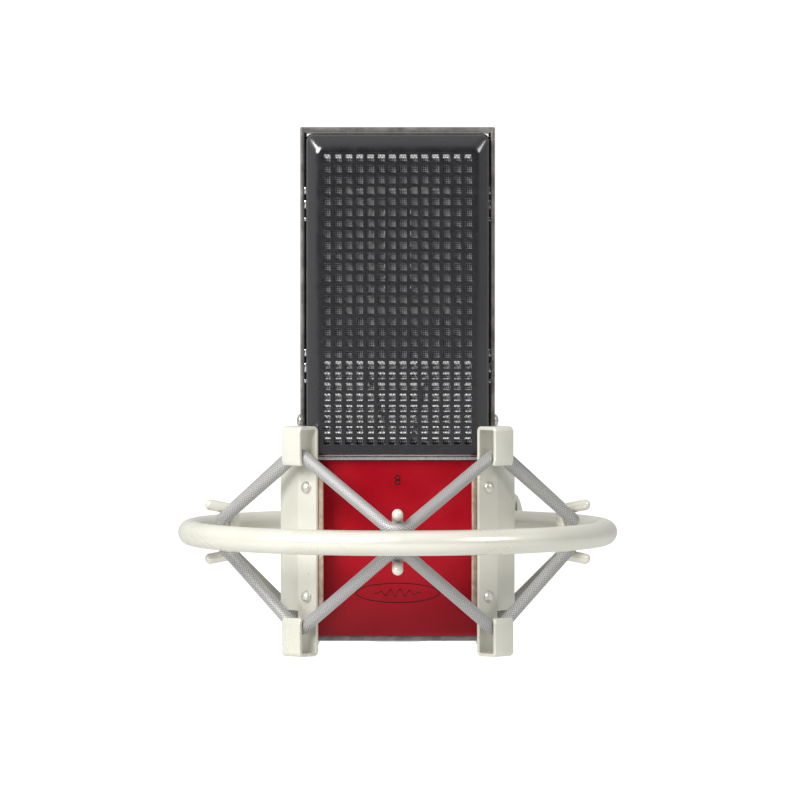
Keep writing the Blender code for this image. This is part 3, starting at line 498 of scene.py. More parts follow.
def soft_profile(points, radius, steps=4):
    """A (radius, along) profile with its inner corners rounded."""
    rounded = []
    for i, (r, z) in enumerate(points):
        here = Vector((r, z))
        if i in (0, len(points) - 1):
            rounded.append((r, z))
            continue
        before, after = Vector(points[i - 1]), Vector(points[i + 1])
        reach = min(radius, (before - here).length * 0.45, (after - here).length * 0.45)
        start = here + (before - here).normalized() * reach
        end = here + (after - here).normalized() * reach
        for k in range(steps + 1):
            t = k / steps
            point = start * (1 - t) ** 2 + here * 2 * t * (1 - t) + end * t * t
            rounded.append((point.x, point.y))
    return rounded


def fillet(before, corner, after, radius, steps):
    towards = (before - corner).normalized()
    away = (after - corner).normalized()
    half = towards.angle(away) / 2
    centre = corner + (towards + away).normalized() * radius / math.sin(half)
    start = corner + towards * radius / math.tan(half) - centre
    turn = start.cross(corner + away * radius / math.tan(half) - centre).normalized()
    angle = math.pi - 2 * half
    return [centre + Matrix.Rotation(angle * i / steps, 3, turn) @ start for i in range(steps + 1)]


def rounded_path(corners, radius, steps, closed):
    corners = [Vector(c) for c in corners]
    count = len(corners)
    path = []
    for i, corner in enumerate(corners):
        if not closed and i in (0, count - 1):
            path.append(corner)
        else:
            path += fillet(corners[i - 1], corner, corners[(i + 1) % count], radius, steps)
    return path


def even_path(path, step, closed):
    """The same path with points about one step apart on its straight stretches."""
    ends = path + path[:1] if closed else path
    dense = []
    for one, two in zip(ends, ends[1:]):
        parts = max(1, round((two - one).length / step))
        dense += [one.lerp(two, i / parts) for i in range(parts)]
    return dense if closed else dense + [path[-1]]


def sweep(shape, path, radii, sides, closed, sleeve=False):
    """A round wire along a path. With sleeve, its length and turn are kept as a UV map."""
    count = len(path)
    tangents = []
    for i in range(count):
        before = path[i - 1] if closed or i else path[0]
        after = path[(i + 1) % count] if closed or i < count - 1 else path[-1]
        tangents.append((after - before).normalized())
    carried = [tangents[0].orthogonal().normalized()]
    for one, two in zip(tangents, tangents[1:] + tangents[:1]):
        carried.append(one.rotation_difference(two) @ carried[-1])
    twist = 0.0
    if closed:
        start, end = carried[0], carried[-1]
        twist = math.atan2(end.cross(start).dot(tangents[0]), end.dot(start))
    rings = []
    for i in range(count):
        first = Matrix.Rotation(twist * i / count, 3, tangents[i]) @ carried[i]
        second = tangents[i].cross(first)
        ring = []
        for k in range(sides):
            t = math.tau * k / sides
            spoke = first * math.cos(t) + second * math.sin(t)
            ring.append(shape.verts.new(path[i] + spoke * radii[i]))
        rings.append(ring)
    layer = shape.loops.layers.uv.new("sleeve") if sleeve else None
    lengths = [0.0]
    for i in range(count):
        lengths.append(lengths[-1] + (path[(i + 1) % count] - path[i]).length)
    for i in range(count if closed else count - 1):
        one, two = rings[i], rings[(i + 1) % count]
        for k in range(sides):
            m = (k + 1) % sides
            face = shape.faces.new((one[k], one[m], two[m], two[k]))
            if layer:
                turns = (k / sides, (k + 1) / sides, (k + 1) / sides, k / sides)
                spans = (lengths[i], lengths[i], lengths[i + 1], lengths[i + 1])
                for loop, u, v in zip(face.loops, spans, turns):
                    loop[layer].uv = (u, v)
    if not closed:
        shape.faces.new(rings[0][::-1])
        shape.faces.new(rings[-1])


def rounded_ends(path, radius):
    """The path and radii of a wire whose two ends are domed."""
    steps = [i / 6 * 0.98 for i in range(1, 7)]
    head = (path[0] - path[1]).normalized()
    tail = (path[-1] - path[-2]).normalized()
    start, end = path[0] - head * radius, path[-1] - tail * radius
    front = [start + head * radius * math.sin(d * math.pi / 2) for d in reversed(steps)]
    back = [end + tail * radius * math.sin(d * math.pi / 2) for d in steps]
    shrink = [radius * math.cos(d * math.pi / 2) for d in steps]
    full = [*front, start, *path[1:-1], end, *back]
    return full, [*reversed(shrink), *[radius] * len(path), *shrink]


def bent_sheet(name, columns, look, body, replaces, edge=0.22 * MM):
    """A bent sheet from a grid of columns of points, given its thickness inwards."""
    shape = bmesh.new()
    grid = [[shape.verts.new(p) for p in column] for column in columns]
    for one, two in zip(grid, grid[1:]):
        for i in range(len(one) - 1):
            shape.faces.new((one[i], one[i + 1], two[i + 1], two[i]))
    made = piece(name, shape, look, body, 35, replaces)
    solid = made.modifiers.new("sheet", "SOLIDIFY")
    solid.thickness = SHEET
    solid.offset = -1
    solid.use_even_offset = True
    return bevel(made, edge)


# ---------------------------------------------------------------- microphone body


def in_xz(facing):
    return lambda a, b, depth: Vector((a, depth * facing, b))


def build_body_frame():
    shape = bmesh.new()
    wall, edge = 1.15 * MM, 0.25 * MM
    depth = BODY_HIGH.y

    def loop(inset, y):
        thicker = TOP_WALL * inset / wall
        low = (BODY_LOW.x + inset, BODY_LOW.z + inset)
        high = (BODY_HIGH.x - inset, BODY_HIGH.z - thicker)
        radius = max(0.35 * MM - inset, 0.12 * MM)
        return [Vector((a, y, b)) for a, b in rounded_rectangle(low, high, radius)]

    loops = []
    for sign in (-1, 1):
        edges = [
            (wall, depth - 3 * MM), (wall, depth - 0.1 * MM), (wall - 0.1 * MM, depth),
            (edge, depth), (edge * 0.3, depth - edge * 0.3), (0, depth - edge),
        ]
        run = [loop(inset, sign * y) for inset, y in edges]
        loops += run if sign < 0 else run[::-1]
    join_loops(shape, rings_of(shape, loops), closed=True)
    piece("mic_frame", shape, "nickel", "microphone", 50, ["perimeter_frame"])
    shape = bmesh.new()
    low, high = BASE_LOW, BASE_HIGH

    def outline(inset):
        a, b = (low.x + inset, low.y + inset), (high.x - inset, high.y - inset)
        return rounded_rectangle(a, b, 0.8 * MM)

    socket = 9.8 * MM
    loops = []
    for inset, z in edge_run(low.z, high.z, 0.3 * MM):
        loops.append([Vector((a, b, z)) for a, b in outline(inset)])
    for z in (high.z, low.z):
        loops.append([Vector((*p, z)) for p in circle_like(outline(0), socket)])
    join_loops(shape, rings_of(shape, loops), closed=True)
    piece("base_plate", shape, "nickel", "microphone", 35, ["bottom_plate"])


def build_slit_shade_strip():
    """A dark strip that closes the slit between each cover and the frame: painted shade standing in for the shade
    inside the open slit.
    """
    for label, facing in (("front", -1), ("rear", 1)):
        shape = bmesh.new()
        loops = []
        outer = (BODY_HIGH.x - 1.2 * MM, BODY_HIGH.z - TOP_WALL - 0.05 * MM)
        inner = (COVER_HIGH.x + 0.02 * MM, COVER_HIGH.z + 0.02 * MM)
        for (wide, tall), depth in ((outer, 10.4), (outer, 11.4), (inner, 11.4), (inner, 10.4)):
            corners = ((-wide, COVER_LOW.z), (-wide, tall), (wide, tall), (wide, COVER_LOW.z))
            loops.append([Vector((x, facing * depth * MM, z)) for x, z in corners])
        rings = rings_of(shape, loops)
        for one, two in zip(rings, rings[1:] + rings[:1]):
            for i in range(3):
                shape.faces.new((one[i], one[i + 1], two[i + 1], two[i]))
        shape.faces.new([ring[0] for ring in rings])
        shape.faces.new([ring[-1] for ring in rings[::-1]])
        # painted shade: a matt black strip where the slit is only in shade
        piece(f"{label}_slit_shade_strip", shape, "plate", "microphone", 30)


def circle_like(outline, radius):
    """Points of a circle at the outline's own directions, so the two join without crossing."""
    count = len(outline)
    start = math.atan2(outline[0][1], outline[0][0])
    return [
        (radius * math.cos(start + math.tau * i / count), radius * math.sin(start + math.tau * i / count))
        for i in range(count)
    ]


def cover_outline(inset, share):
    """The cover's outline where the shoulder has moved in by a share of each side's slope."""
    side = SIDE_SLOPE * share + inset
    low = (COVER_LOW.x + side, COVER_LOW.z + LOW_SLOPE * share + inset)
    high = (COVER_HIGH.x - side, COVER_HIGH.z - TOP_SLOPE * share - inset)
    radius = 1.9 - share + 5 * share * (1 - share)
    return rounded_rectangle(low, high, radius * MM, 8)


def hole_ring(middle, grow):
    """Twelve points round a square hole with rounded corners."""
    half = HOLE_SIZE / 2 + grow
    radius = HOLE_ROUND + grow * 0.6
    low = (middle[0] - half, middle[1] - half)
    high = (middle[0] + half, middle[1] + half)
    return rounded_rectangle(low, high, radius, 2)


def zipper(shape, outer, inner, centre, spans):
    """Triangles between two closed loops, matched by direction from a centre."""

    def turn(vert):
        a = (vert.co.x - centre[0]) / spans[0]
        b = (vert.co.z - centre[1]) / spans[1]
        return math.atan2(b, a) % math.tau

    def from_first(loop):
        first = min(range(len(loop)), key=lambda i: turn(loop[i]))
        loop = loop[first:] + loop[:first]
        if turn(loop[1]) > math.pi:
            loop = [loop[0]] + loop[:0:-1]
        return loop

    outer, inner = from_first(outer), from_first(inner)
    angles = [[turn(v) for v in loop] + [math.tau + turn(loop[0])] for loop in (outer, inner)]
    i = k = 0
    while i < len(outer) or k < len(inner):
        one, two = outer[i % len(outer)], inner[k % len(inner)]
        take_outer = k >= len(inner) or (i < len(outer) and angles[0][i + 1] <= angles[1][k + 1])
        if take_outer:
            i += 1
            shape.faces.new((one, outer[i % len(outer)], two))
        else:
            k += 1
            shape.faces.new((one, inner[k % len(inner)], two))


def perforated_field(shape, place, front, back):
    """The flat field of square holes; returns the edge loops of its front and back faces."""
    xs = [(i - COLUMNS / 2) * HOLE_PITCH for i in range(COLUMNS + 1)]
    zs = [FIELD_MIDDLE + (j - ROWS / 2) * HOLE_PITCH for j in range(ROWS + 1)]
    corners = [
        [[shape.verts.new(place(x, z, depth)) for z in zs] for x in xs] for depth in (front, back)
    ]
    steps = [
        (0.07 * MM, front), (0.02 * MM, front - 0.02 * MM), (0.0, front - 0.07 * MM),
        (0.0, back + 0.05 * MM), (0.04 * MM, back),
    ]
    for i in range(COLUMNS):
        for j in range(ROWS):
            middle = ((xs[i] + xs[i + 1]) / 2, (zs[j] + zs[j + 1]) / 2)
            rings = []
            for grow, depth in steps:
                rings.append([shape.verts.new(place(a, b, depth)) for a, b in hole_ring(middle, grow)])
            join_loops(shape, rings, caps=False)
            for sheet, ring in ((corners[0], rings[0]), (corners[1], rings[-1])):
                square = (
                    sheet[i + 1][j + 1], sheet[i][j + 1], sheet[i][j], sheet[i + 1][j],
                )
                for k in range(4):
                    n = (k + 1) % 4
                    arc_end = [ring[3 * n + 1], ring[3 * n], ring[3 * k + 2], ring[3 * k + 1]]
                    shape.faces.new([square[k], square[n], *arc_end])
    edges = []
    for sheet in corners:
        loop = [column[0] for column in sheet]
        loop += sheet[-1][1:]
        loop += [column[-1] for column in sheet[-2::-1]]
        loop += sheet[0][-2:0:-1]
        edges.append(loop)
    return edges


def shoulder_run():
    """(share, rise) of the pressed edge: a tight rim, a slope and a wide rounding to the flat."""
    run = []
    for before, corner, after, steps in (
        ((0.0, 0.05), (0.05, 0.45), (0.16, 0.55), 7),
        ((0.56, 0.84), (0.78, 1.0), (1.0, 1.0), 8),
    ):
        for i in range(steps + 1):
            t = i / steps
            weights = ((1 - t) ** 2, 2 * t * (1 - t), t * t)
            run.append(tuple(sum(w * p[k] for w, p in zip(weights, (before, corner, after))) for k in (0, 1)))
    return run


def build_cover(node, facing):
    shape = bmesh.new()
    place = in_xz(facing)
    front = max(abs(COVER_LOW.y), abs(COVER_HIGH.y))
    rim = BODY_HIGH.y
    front_edge, back_edge = perforated_field(shape, place, front, front - COVER_SHEET)
    skins = []
    for skin in (0.0, COVER_SHEET):
        loops = [(skin, 0.0, rim - 1.4 * MM)]
        for share, rise in shoulder_run():
            loops.append((skin * (1 - share), share, rim + rise * (front - rim - skin)))
        rings = []
        for inset, share, depth in loops:
            rings.append([shape.verts.new(place(a, b, depth)) for a, b in cover_outline(inset, share)])
        skins.append(rings)
    outer, inner = skins
    join_loops(shape, inner[::-1] + outer, caps=False)
    centre = (0, (COVER_LOW.z + COVER_HIGH.z) / 2)
    spans = (COLUMNS / 2, ROWS / 2)
    zipper(shape, outer[-1], front_edge, centre, spans)
    zipper(shape, inner[-1], back_edge, centre, spans)
    name = node.replace("grille_cover", "perforated_cover")
    made = piece(name, shape, "lacquer", "microphone", 38, [node])
    for face in made.data.polygons:
        if abs(face.normal.y) > 0.9999:
            face.use_smooth = False


def build_wire_mesh(node, pitch, turn):
    """Two crossing layers of fine wires, laid at a turn to the edges."""
    low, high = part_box(node)
    shape = bmesh.new()
    low.z -= MESH_FLAP
    centre = (low + high) / 2
    facing = -1 if centre.y < 0 else 1
    centre.y = facing * (max(-COVER_LOW.y, -COVER_HIGH.y) - MESH_DEPTH)
    half = ((high.x - low.x) / 2, (high.z - low.z) / 2)
    sections = [(WIRE, 0), (0, WIRE), (-WIRE, 0), (0, -WIRE)]
    reach = math.hypot(*half)
    for layer, angle in ((-0.6, turn), (0.6, turn + math.pi / 2)):
        along = (math.cos(angle), math.sin(angle))
        across = (-along[1], along[0])
        for i in range(int(-reach / pitch), int(reach / pitch) + 1):
            start = [(i + 0.5) * pitch * c for c in across]
            span = clip_line(start, along, half)
            if span is None:
                continue
            loops = []
            for t in span:
                x, z = start[0] + along[0] * t, start[1] + along[1] * t
                loops.append([
                    centre + Vector((x + across[0] * a, layer * WIRE + b, z + across[1] * a))
                    for a, b in sections
                ])
            join_loops(shape, rings_of(shape, loops))
    piece(node.replace("mesh", "wire_mesh"), shape, "mesh", "microphone", 80, [node])


def clip_line(start, along, half):
    """The part of a line inside a rectangle about the origin, or None."""
    first, last = -1.0, 1.0
    for place, step, limit in zip(start, along, half):
        if abs(step) < 1e-6:
            if abs(place) >= limit:
                return None
            continue
        ends = sorted(((-limit - place) / step, (limit - place) / step))
        first, last = max(first, ends[0]), min(last, ends[1])
    return (first, last) if last - first > 1 * MM else None


def build_panel(node):
    """A lacquered sheet whose thin lip laps over the lower edge of the body frame."""
    low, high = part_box(node)
    facing = -1 if low.y < 0 else 1
    near, far = sorted((abs(low.y), abs(high.y)))
    lap = BODY_HIGH.y + 0.05 * MM
    steps = [(0.0, near, 0.0), (0.0, lap, 0.0), (0.05 * MM, lap, PANEL_LIP)]
    steps += [(inset, depth, PANEL_LIP) for inset, depth in edge_run(lap, far, 0.42 * MM)[5:]]
    loops = []
    for inset, depth, lip in steps:
        a, b = (low.x + inset, low.z - lip + inset), (high.x - inset, high.z - inset)
        loops.append([Vector((x, depth * facing, z)) for x, z in rounded_rectangle(a, b, 0.9 * MM)])
    shape = bmesh.new()
    join_loops(shape, rings_of(shape, loops))
    piece(node.replace("panel", "red_panel"), shape, "red", "microphone", 40, [node])


def flat_mark(name, loops, depth):
    """Printed shapes, each a closed outline pair, standing a hair proud of the front panel."""
    shape = bmesh.new()
    face = -PANEL_LOW.y
    for outer, inner in loops:
        rings = []
        for outline, rise in ((outer, 0.0), (outer, depth), (inner, depth), (inner, 0.0)):
            rings.append([Vector((a, -(face + rise), b)) for a, b in outline])
        join_loops(shape, rings_of(shape, rings), closed=True)
    return piece(name, shape, "ink", "microphone")


def even_turns(count):
    return [math.tau * i / count for i in range(count)]


def build_marks():
    """The two stacked circles of a figure-8 pick-up pattern, and a plain wave in an oval below."""
    ring = 0.82 * MM
    line = 0.36 * MM
    middle = RING_Z + 14.9 * MM
    pairs = []
    for sign in (1, -1):
        centre = (0, middle + sign * (2 * ring - line) / 2)
        outer = [(centre[0] + x, centre[1] + z) for x, z in arc((0, 0), ring, 0, 345, 23)]
        inner = [(centre[0] + x, centre[1] + z) for x, z in arc((0, 0), ring - line, 0, 345, 23)]
        pairs.append((outer, inner))
    flat_mark("pattern_icon", pairs, 0.03 * MM)
    badge = RING_Z - 15.9 * MM
    outer = [(11.45 * MM * math.cos(t), badge + 2.75 * MM * math.sin(t)) for t in even_turns(72)]
    inner = [(11.2 * MM * math.cos(t), badge + 2.5 * MM * math.sin(t)) for t in even_turns(72)]
    flat_mark("badge_outline", [(outer, inner)], 0.03 * MM)
    wave = badge
    half, height, thick = 6.6 * MM, 1.0 * MM, 0.2 * MM
    steps = 64
    shape = bmesh.new()
    rows = []
    for i in range(steps + 1):
        u = i / steps * 2 - 1
        swell = math.cos(u * math.pi / 2)
        x = half * u
        z = wave + height * swell * math.sin(u * math.pi * 5)
        thin = thick * (0.35 + 0.65 * swell)
        face = PANEL_LOW.y
        rows.append([
            Vector((x, face, z - thin)), Vector((x, face - 0.03 * MM, z - thin)),
            Vector((x, face - 0.03 * MM, z + thin)), Vector((x, face, z + thin)),
        ])
    join_loops(shape, rings_of(shape, rows))
    piece("wave_mark", shape, "ink", "microphone")


def build_clips():
    """Thin spring clips in the slit between cover and frame on both sides."""
    heights = (93.8, 90.0, 85.9, 49.6, 45.5, 41.9)
    lengths = (1.9, 2.1, 0.9, 1.9, 2.4, 0.9)
    inner, outer = COVER_HIGH.x + 0.02 * MM, BODY_HIGH.x - 1.17 * MM
    for label, side in (("left", -1), ("right", 1)):
        for number, (height, length) in enumerate(zip(heights, lengths), 1):
            shape = bmesh.new()
            z = RING_Z + height * MM
            half = length * MM / 2

            def outline(inset, near=inner, far=outer, z=z, half=half):
                a, b = (near, z - half + inset), (far, z + half - inset)
                return rounded_rectangle(a, b, 0.06 * MM, 2)

            run = edge_run(11.0 * MM, 13.9 * MM, 0.05 * MM, 2)
            slab(shape, outline, run, lambda a, b, d, side=side: Vector((a * side, -d, b)))
            piece(f"{label}_clip_{number}", shape, "chrome", "microphone")


def dome_head(name, node, look, radius, rise, axis, centre, shank):
    profile = [(0, -shank), (radius * 0.5, -shank), (radius * 0.5, 0), (radius * 0.96, 0)]
    profile += [
        (radius * math.cos(t * math.pi / 2), rise * (0.08 + 0.92 * math.sin(t * math.pi / 2)))
        for t in [i / 9 for i in range(9)]
    ]
    shape = bmesh.new()
    turned(shape, [*profile, (0, rise)], centre, axis, 36)
    piece(name, shape, look, BODY_OF[node], 60, [node])


BODY_OF = {node: body for body, nodes in frame["record"]["behaviour"]["bodies"].items() for node in nodes}


def build_screws():
    for node in BODY_OF:
        if not node.endswith("_screw") or "clamp" in node:
            continue
        low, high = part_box(node)
        middle = (low + high) / 2
        if "side" in node:
            sign = 1 if middle.x > 0 else -1
            seat = Vector((sign * BODY_HIGH.x, middle.y, middle.z))
            dome_head(f"{node}_head", node, "steel", 1.9 * MM, 1.2 * MM, (sign, 0, 0), seat, 4 * MM)
        elif "panel" in node:
            seat = Vector((middle.x, -PANEL_LOW.y, middle.z))
            dome_head(f"{node}_head", node, "steel", 1.9 * MM, 0.9 * MM, (0, 1, 0), seat, 4 * MM)
        elif "socket" in node:
            seat = Vector((middle.x, middle.y, BASE_LOW.z))
            dome_head(f"{node}_head", node, "steel", 2.2 * MM, 1.0 * MM, (0, 0, -1), seat, 5 * MM)
        else:
            side = 1 if middle.x > 0 else -1
            facing = 1 if middle.y > 0 else -1
            place, width = quarter(side, facing)
            lift = SHEET + 0.3 * MM if facing > 0 else 0.0
            seat = place(lift, middle.z - RING_Z, width / 2)
            axis = place(lift + 1, middle.z - RING_Z, width / 2) - seat
            shank = lift + SHEET * 0.9
            dome_head(f"{node}_head", node, "rivet", 1.65 * MM, 1.45 * MM, axis, seat, shank)


def build_socket():
    low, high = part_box("socket_shell")
    outer, bore = high.x, 8.2 * MM
    edge = 0.35 * MM
    profile = [
        (bore, high.z), (bore, low.z + edge), (bore + edge, low.z), (outer - edge, low.z),
        (outer, low.z + edge), (outer, high.z),
    ]
    shape = bmesh.new()
    turned(shape, soft_profile([*profile, (bore, high.z)], 0.2 * MM)[:-1], (0, 0, 0), (0, 0, 1), 72)
    piece("socket_ring", shape, "chrome", "microphone", 40, ["socket_shell"])


def build_ribbon(node):
    """Corrugated foil with fine folds and flat ends under the clamps."""
    low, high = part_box(node)
    folds, flat = 44, 4.0 * MM
    start, end = low.z + flat, high.z - flat
    middle = (low.y + high.y) / 2
    shape = bmesh.new()
    steps = folds * 4
    thick = 0.03 * MM
    rows = [(low.z, 0.0)]
    for i in range(steps + 1):
        fade = min(1.0, i / 6, (steps - i) / 6)
        rows.append((start + (end - start) * i / steps, 0.24 * MM * fade * math.sin(math.tau * i / 4)))
    rows.append((high.z, 0.0))
    loops = [
        [
            Vector((low.x, middle + y - thick, z)), Vector((high.x, middle + y - thick, z)),
            Vector((high.x, middle + y + thick, z)), Vector((low.x, middle + y + thick, z)),
        ]
        for z, y in rows
    ]
    join_loops(shape, rings_of(shape, loops))
    piece(f"{node}_foil", shape, "foil", "microphone", 60, [node])


def build_motor_front():
    """Pole plates, ribbon clamp blocks and their screws, just behind the front mesh."""
    face, back = 15.6 * MM, 6.4 * MM
    top, low = RING_Z + 93.8 * MM, RING_Z + 61.2 * MM

    def bar(name, corner, far, look):
        shape = bmesh.new()

        def outline(inset):
            a, b = (corner[0] + inset, corner[1] + inset), (far[0] - inset, far[1] - inset)
            return rounded_rectangle(a, b, 0.15 * MM, 2)

        slab(shape, outline, edge_run(back, face, 0.12 * MM, 2), in_xz(-1))
        piece(name, shape, look, "microphone")

    for label, side in (("left", -1), ("right", 1)):
        x = side * 7.6 * MM
        bar(f"{label}_pole_plate", (x - 0.25 * MM, low + 1.2 * MM), (x + 0.25 * MM, top - 1.2 * MM), "rivet")
        for height, end in ((top, "upper"), (low, "lower")):
            middle = side * 5.9 * MM
            corner = (middle - 2.3 * MM, height - 0.85 * MM)
            bar(f"{label}_{end}_clamp_block", corner, (middle + 2.3 * MM, height + 0.85 * MM), "rivet")
            shape = bmesh.new()
            profile = [(0, 0), (1.0 * MM, 0), (1.0 * MM, face - back), (0.7 * MM, face - back + 0.4 * MM)]
            at = (side * 13.3 * MM, -back, height)
            turned(shape, [*profile, (0, face - back + 0.5 * MM)], at, (0, -1, 0), 24)
            piece(f"{label}_{end}_motor_post", shape, "rivet", "microphone")


def build_leads():
    """Insulated leads from the clamps to the transformer, with short tinned ends."""
    up = Vector((0, 0, RING_Z))
    for node, side, low, ends in (
        ("left_lead", -1, (-2.9, 29.4), ((-2.9, 29.4), (-0.3, 28.1))),
        ("right_lead", 1, (4.2, 27.2), ((3.3, 26.7), (8.6, 25.0))),
    ):
        corners = [
            (side * 5.9, -6.9, 59.6), (side * 6.6, -14.2, 56.0), (side * 9.0, -14.6, 46.0), (low[0], -14.6, low[1]),
            (low[0] * 0.8, -8.0, 22.0),
        ]
        points = [Vector(c) * MM + up for c in corners]
        path, radii = rounded_ends(rounded_path(points, 1.8 * MM, 6, closed=False), 0.6 * MM)
        shape = bmesh.new()
        sweep(shape, path, radii, 16, closed=False)
        piece(f"{node}_wire", shape, "wire", "microphone", 60, [node])
        bare = [Vector((a, -15.3, b)) * MM + up for a, b in ends]
        path, radii = rounded_ends([bare[0], bare[0].lerp(bare[1], 0.5), bare[1]], 0.42 * MM)
        shape = bmesh.new()
        sweep(shape, path, radii, 12, closed=False)
        piece(f"{node}_tinned_end", shape, "rivet", "microphone", 60)


# ---------------------------------------------------------------- cradle


def quarter(side, facing):
    """Places (out, height, along) on the 45-degree lip of one quarter of the cradle."""
    run = (CREASE - LIP).normalized()
    outward = Vector((-run.y, run.x))

    def place(out, height, along):
        point = LIP + outward * out + run * along
        return Vector((point.x * side, point.y * facing, RING_Z + height))

    return place, (CREASE - LIP).length


def hook_profile(facing):
    """(out, height) of a lip's outer face, from one hook's free end to the other's."""
    curl = 0.45 * MM
    bend = HOOK_CORNER - SHEET / 2
    drop = REAR_DROP if facing > 0 else 0.0
    leg, ceiling, floor = HOOK_OUT - SHEET, HOOK_TOP - SHEET - drop, HOOK_LOW + SHEET
    top = [
        (leg - curl, HOOK_TOP - HOOK_LEG), (leg, HOOK_TOP - HOOK_LEG + 1.6 * MM), (leg, ceiling),
        (0, ceiling),
    ]
    low = [
        (0, floor), (leg, floor), (leg, HOOK_LOW + HOOK_LEG - 1.6 * MM),
        (leg - curl, HOOK_LOW + HOOK_LEG),
    ]
    corners = [Vector((a, b, 0)) for a, b in top + low]
    path = [corners[0]]
    path += fillet(corners[0], corners[1], corners[2], 1.2 * MM, 3)
    path += fillet(corners[1], corners[2], corners[3], bend, 8)
    path += fillet(corners[2], corners[3], corners[4], bend, 8)
    path += [Vector((0, z, 0)) for z in web_heights()]
    path += fillet(corners[3], corners[4], corners[5], bend, 8)
    path += fillet(corners[4], corners[5], corners[6], bend, 8)
    path += fillet(corners[5], corners[6], corners[7], 1.2 * MM, 3)
    path.append(corners[7])
    return [(p.x, p.y) for p in path]


def web_heights():
    steps = 10
    return [SIDE_TOP + (SIDE_LOW - SIDE_TOP) * i / steps for i in range(steps + 1)]


def side_path():
    """Plan points of the web's outer face from the front crease to the rear one."""
    front = [Vector((CREASE.x, -CREASE.y, 0)), Vector((SIDE_X, -SIDE_Y, 0))]
    rear = [Vector((SIDE_X, SIDE_Y, 0)), Vector((CREASE.x, CREASE.y, 0))]
    path = [front[0]]
    path += fillet(front[0], front[1], rear[0], 3.0 * MM, 5)
    across = 8
    path += [front[1].lerp(rear[0], i / across) for i in range(2, across - 1)]
    path += fillet(front[1], rear[0], rear[1], 3.0 * MM, 5)
    path.append(rear[1])
    return path


def build_bracket(node, side):
    """One sheet: two lips with hooks, and a web between them whose middle is cut lower."""
    shape = bmesh.new()
    heights = web_heights()
    creases = {}
    for facing in (-1, 1):
        place, width = quarter(side, facing)
        profile = hook_profile(facing)
        rows = [[shape.verts.new(place(a, b, along)) for a, b in profile] for along in (0, width)]
        for i in range(len(profile) - 1):
            shape.faces.new((rows[0][i], rows[0][i + 1], rows[1][i + 1], rows[1][i]))
        start = nearest(profile, heights[0])
        creases[facing] = rows[1][start : start + len(heights)]
    path = side_path()
    columns = [creases[-1]]
    for point in path[1:-1]:
        reach = max(0.0, min(1.0, (SIDE_Y - abs(point.y)) / SIDE_DIP))
        dip = (1 - math.cos(reach * math.pi)) / 2
        top = SIDE_TOP - 7.5 * MM * dip
        low = SIDE_LOW + 7.5 * MM * dip
        column = []
        for z in heights:
            share = (z - SIDE_LOW) / (SIDE_TOP - SIDE_LOW)
            column.append(shape.verts.new((point.x * side, point.y, RING_Z + low + (top - low) * share)))
        columns.append(column)
    columns.append(creases[1])
    for one, two in zip(columns, columns[1:]):
        for i in range(len(one) - 1):
            shape.faces.new((one[i], one[i + 1], two[i + 1], two[i]))
    made = piece(f"{node}_sheet", shape, "paint", "cradle", 12, [node])
    solid = made.modifiers.new("sheet", "SOLIDIFY")
    solid.thickness = SHEET
    solid.offset = inward_offset(made, side)
    solid.use_even_offset = True
    bevel(made, 0.24 * MM)


def nearest(profile, height):
    on_lip = [i for i, (a, b) in enumerate(profile) if abs(a) < 1e-9 and abs(b - height) < 1e-7]
    return on_lip[0]


def inward_offset(made, side):
    """Solidify's offset that thickens the sheet towards the microphone."""
    outwards = sum(p.normal.x * side * p.area for p in made.data.polygons if abs(p.normal.x) > 0.9)
    return -1 if outwards > 0 else 1


def build_strap():
    run = (CREASE - LIP).normalized()
    out = Vector((-run.y, run.x)) * (0.3 * MM + SHEET)
    end = CREASE - run * 1.2 * MM + out
    bend = LIP - run * 1.5 * MM + out
    corners = [
        Vector((end.x, end.y, 0)), Vector((bend.x, bend.y, 0)),
        Vector((-bend.x, bend.y, 0)), Vector((-end.x, end.y, 0)),
    ]
    path = rounded_path(corners, 2.0 * MM, 6, closed=False)
    columns = []
    for point in even_path(path, 3 * MM, False):
        inset = max(0.0, (abs(point.x) - abs(end.x) + 2.2 * MM) / (2.2 * MM))
        half = STRAP_HALF - 1.6 * MM * inset**2
        heights = [STRAP_MIDDLE + half * (i / 3 - 1) for i in range(7)]
        columns.append([Vector((point.x, point.y, RING_Z + z)) for z in heights])
    made = bent_sheet("rear_strap_sheet", columns, "paint", "cradle", ["rear_strap"])
    outwards = sum(p.normal.y * p.area for p in made.data.polygons)
    made.modifiers["sheet"].offset = -1 if outwards > 0 else 1


def build_pad(node):
    """A felt strip with soft edges and a slightly uneven nap."""
    low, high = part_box(node)
    side = 1 if low.x > 0 else -1
    facing = 1 if low.y > 0 else -1
    place, width = quarter(side, facing)
    near, far = -SHEET - 0.2 * MM, -SHEET - 0.9 * MM
    start, end = -1.2 * MM, width - 0.4 * MM
    shape = bmesh.new()

    def outline(inset):
        return rounded_rectangle((start + inset, SIDE_LOW + inset), (end - inset, SIDE_TOP - inset), 0.6 * MM)

    slab(shape, outline, edge_run(near, far, 0.3 * MM, 3), lambda a, b, d: place(d, b, a))
    bmesh.ops.triangulate(shape, faces=[f for f in shape.faces if len(f.verts) > 4])
    long_edges = [e for e in shape.edges if e.calc_length() > 2 * MM]
    bmesh.ops.subdivide_edges(shape, edges=long_edges, cuts=6, use_grid_fill=True)
    for vert in shape.verts:
        vert.co += noise.noise_vector(vert.co * 900) * 0.05 * MM
    piece(f"{node}_felt", shape, "felt", "cradle", 180, [node])


# ---------------------------------------------------------------- ring, posts and cords


def spoke(turn):
    return Vector((math.cos(turn), math.sin(turn), 0))


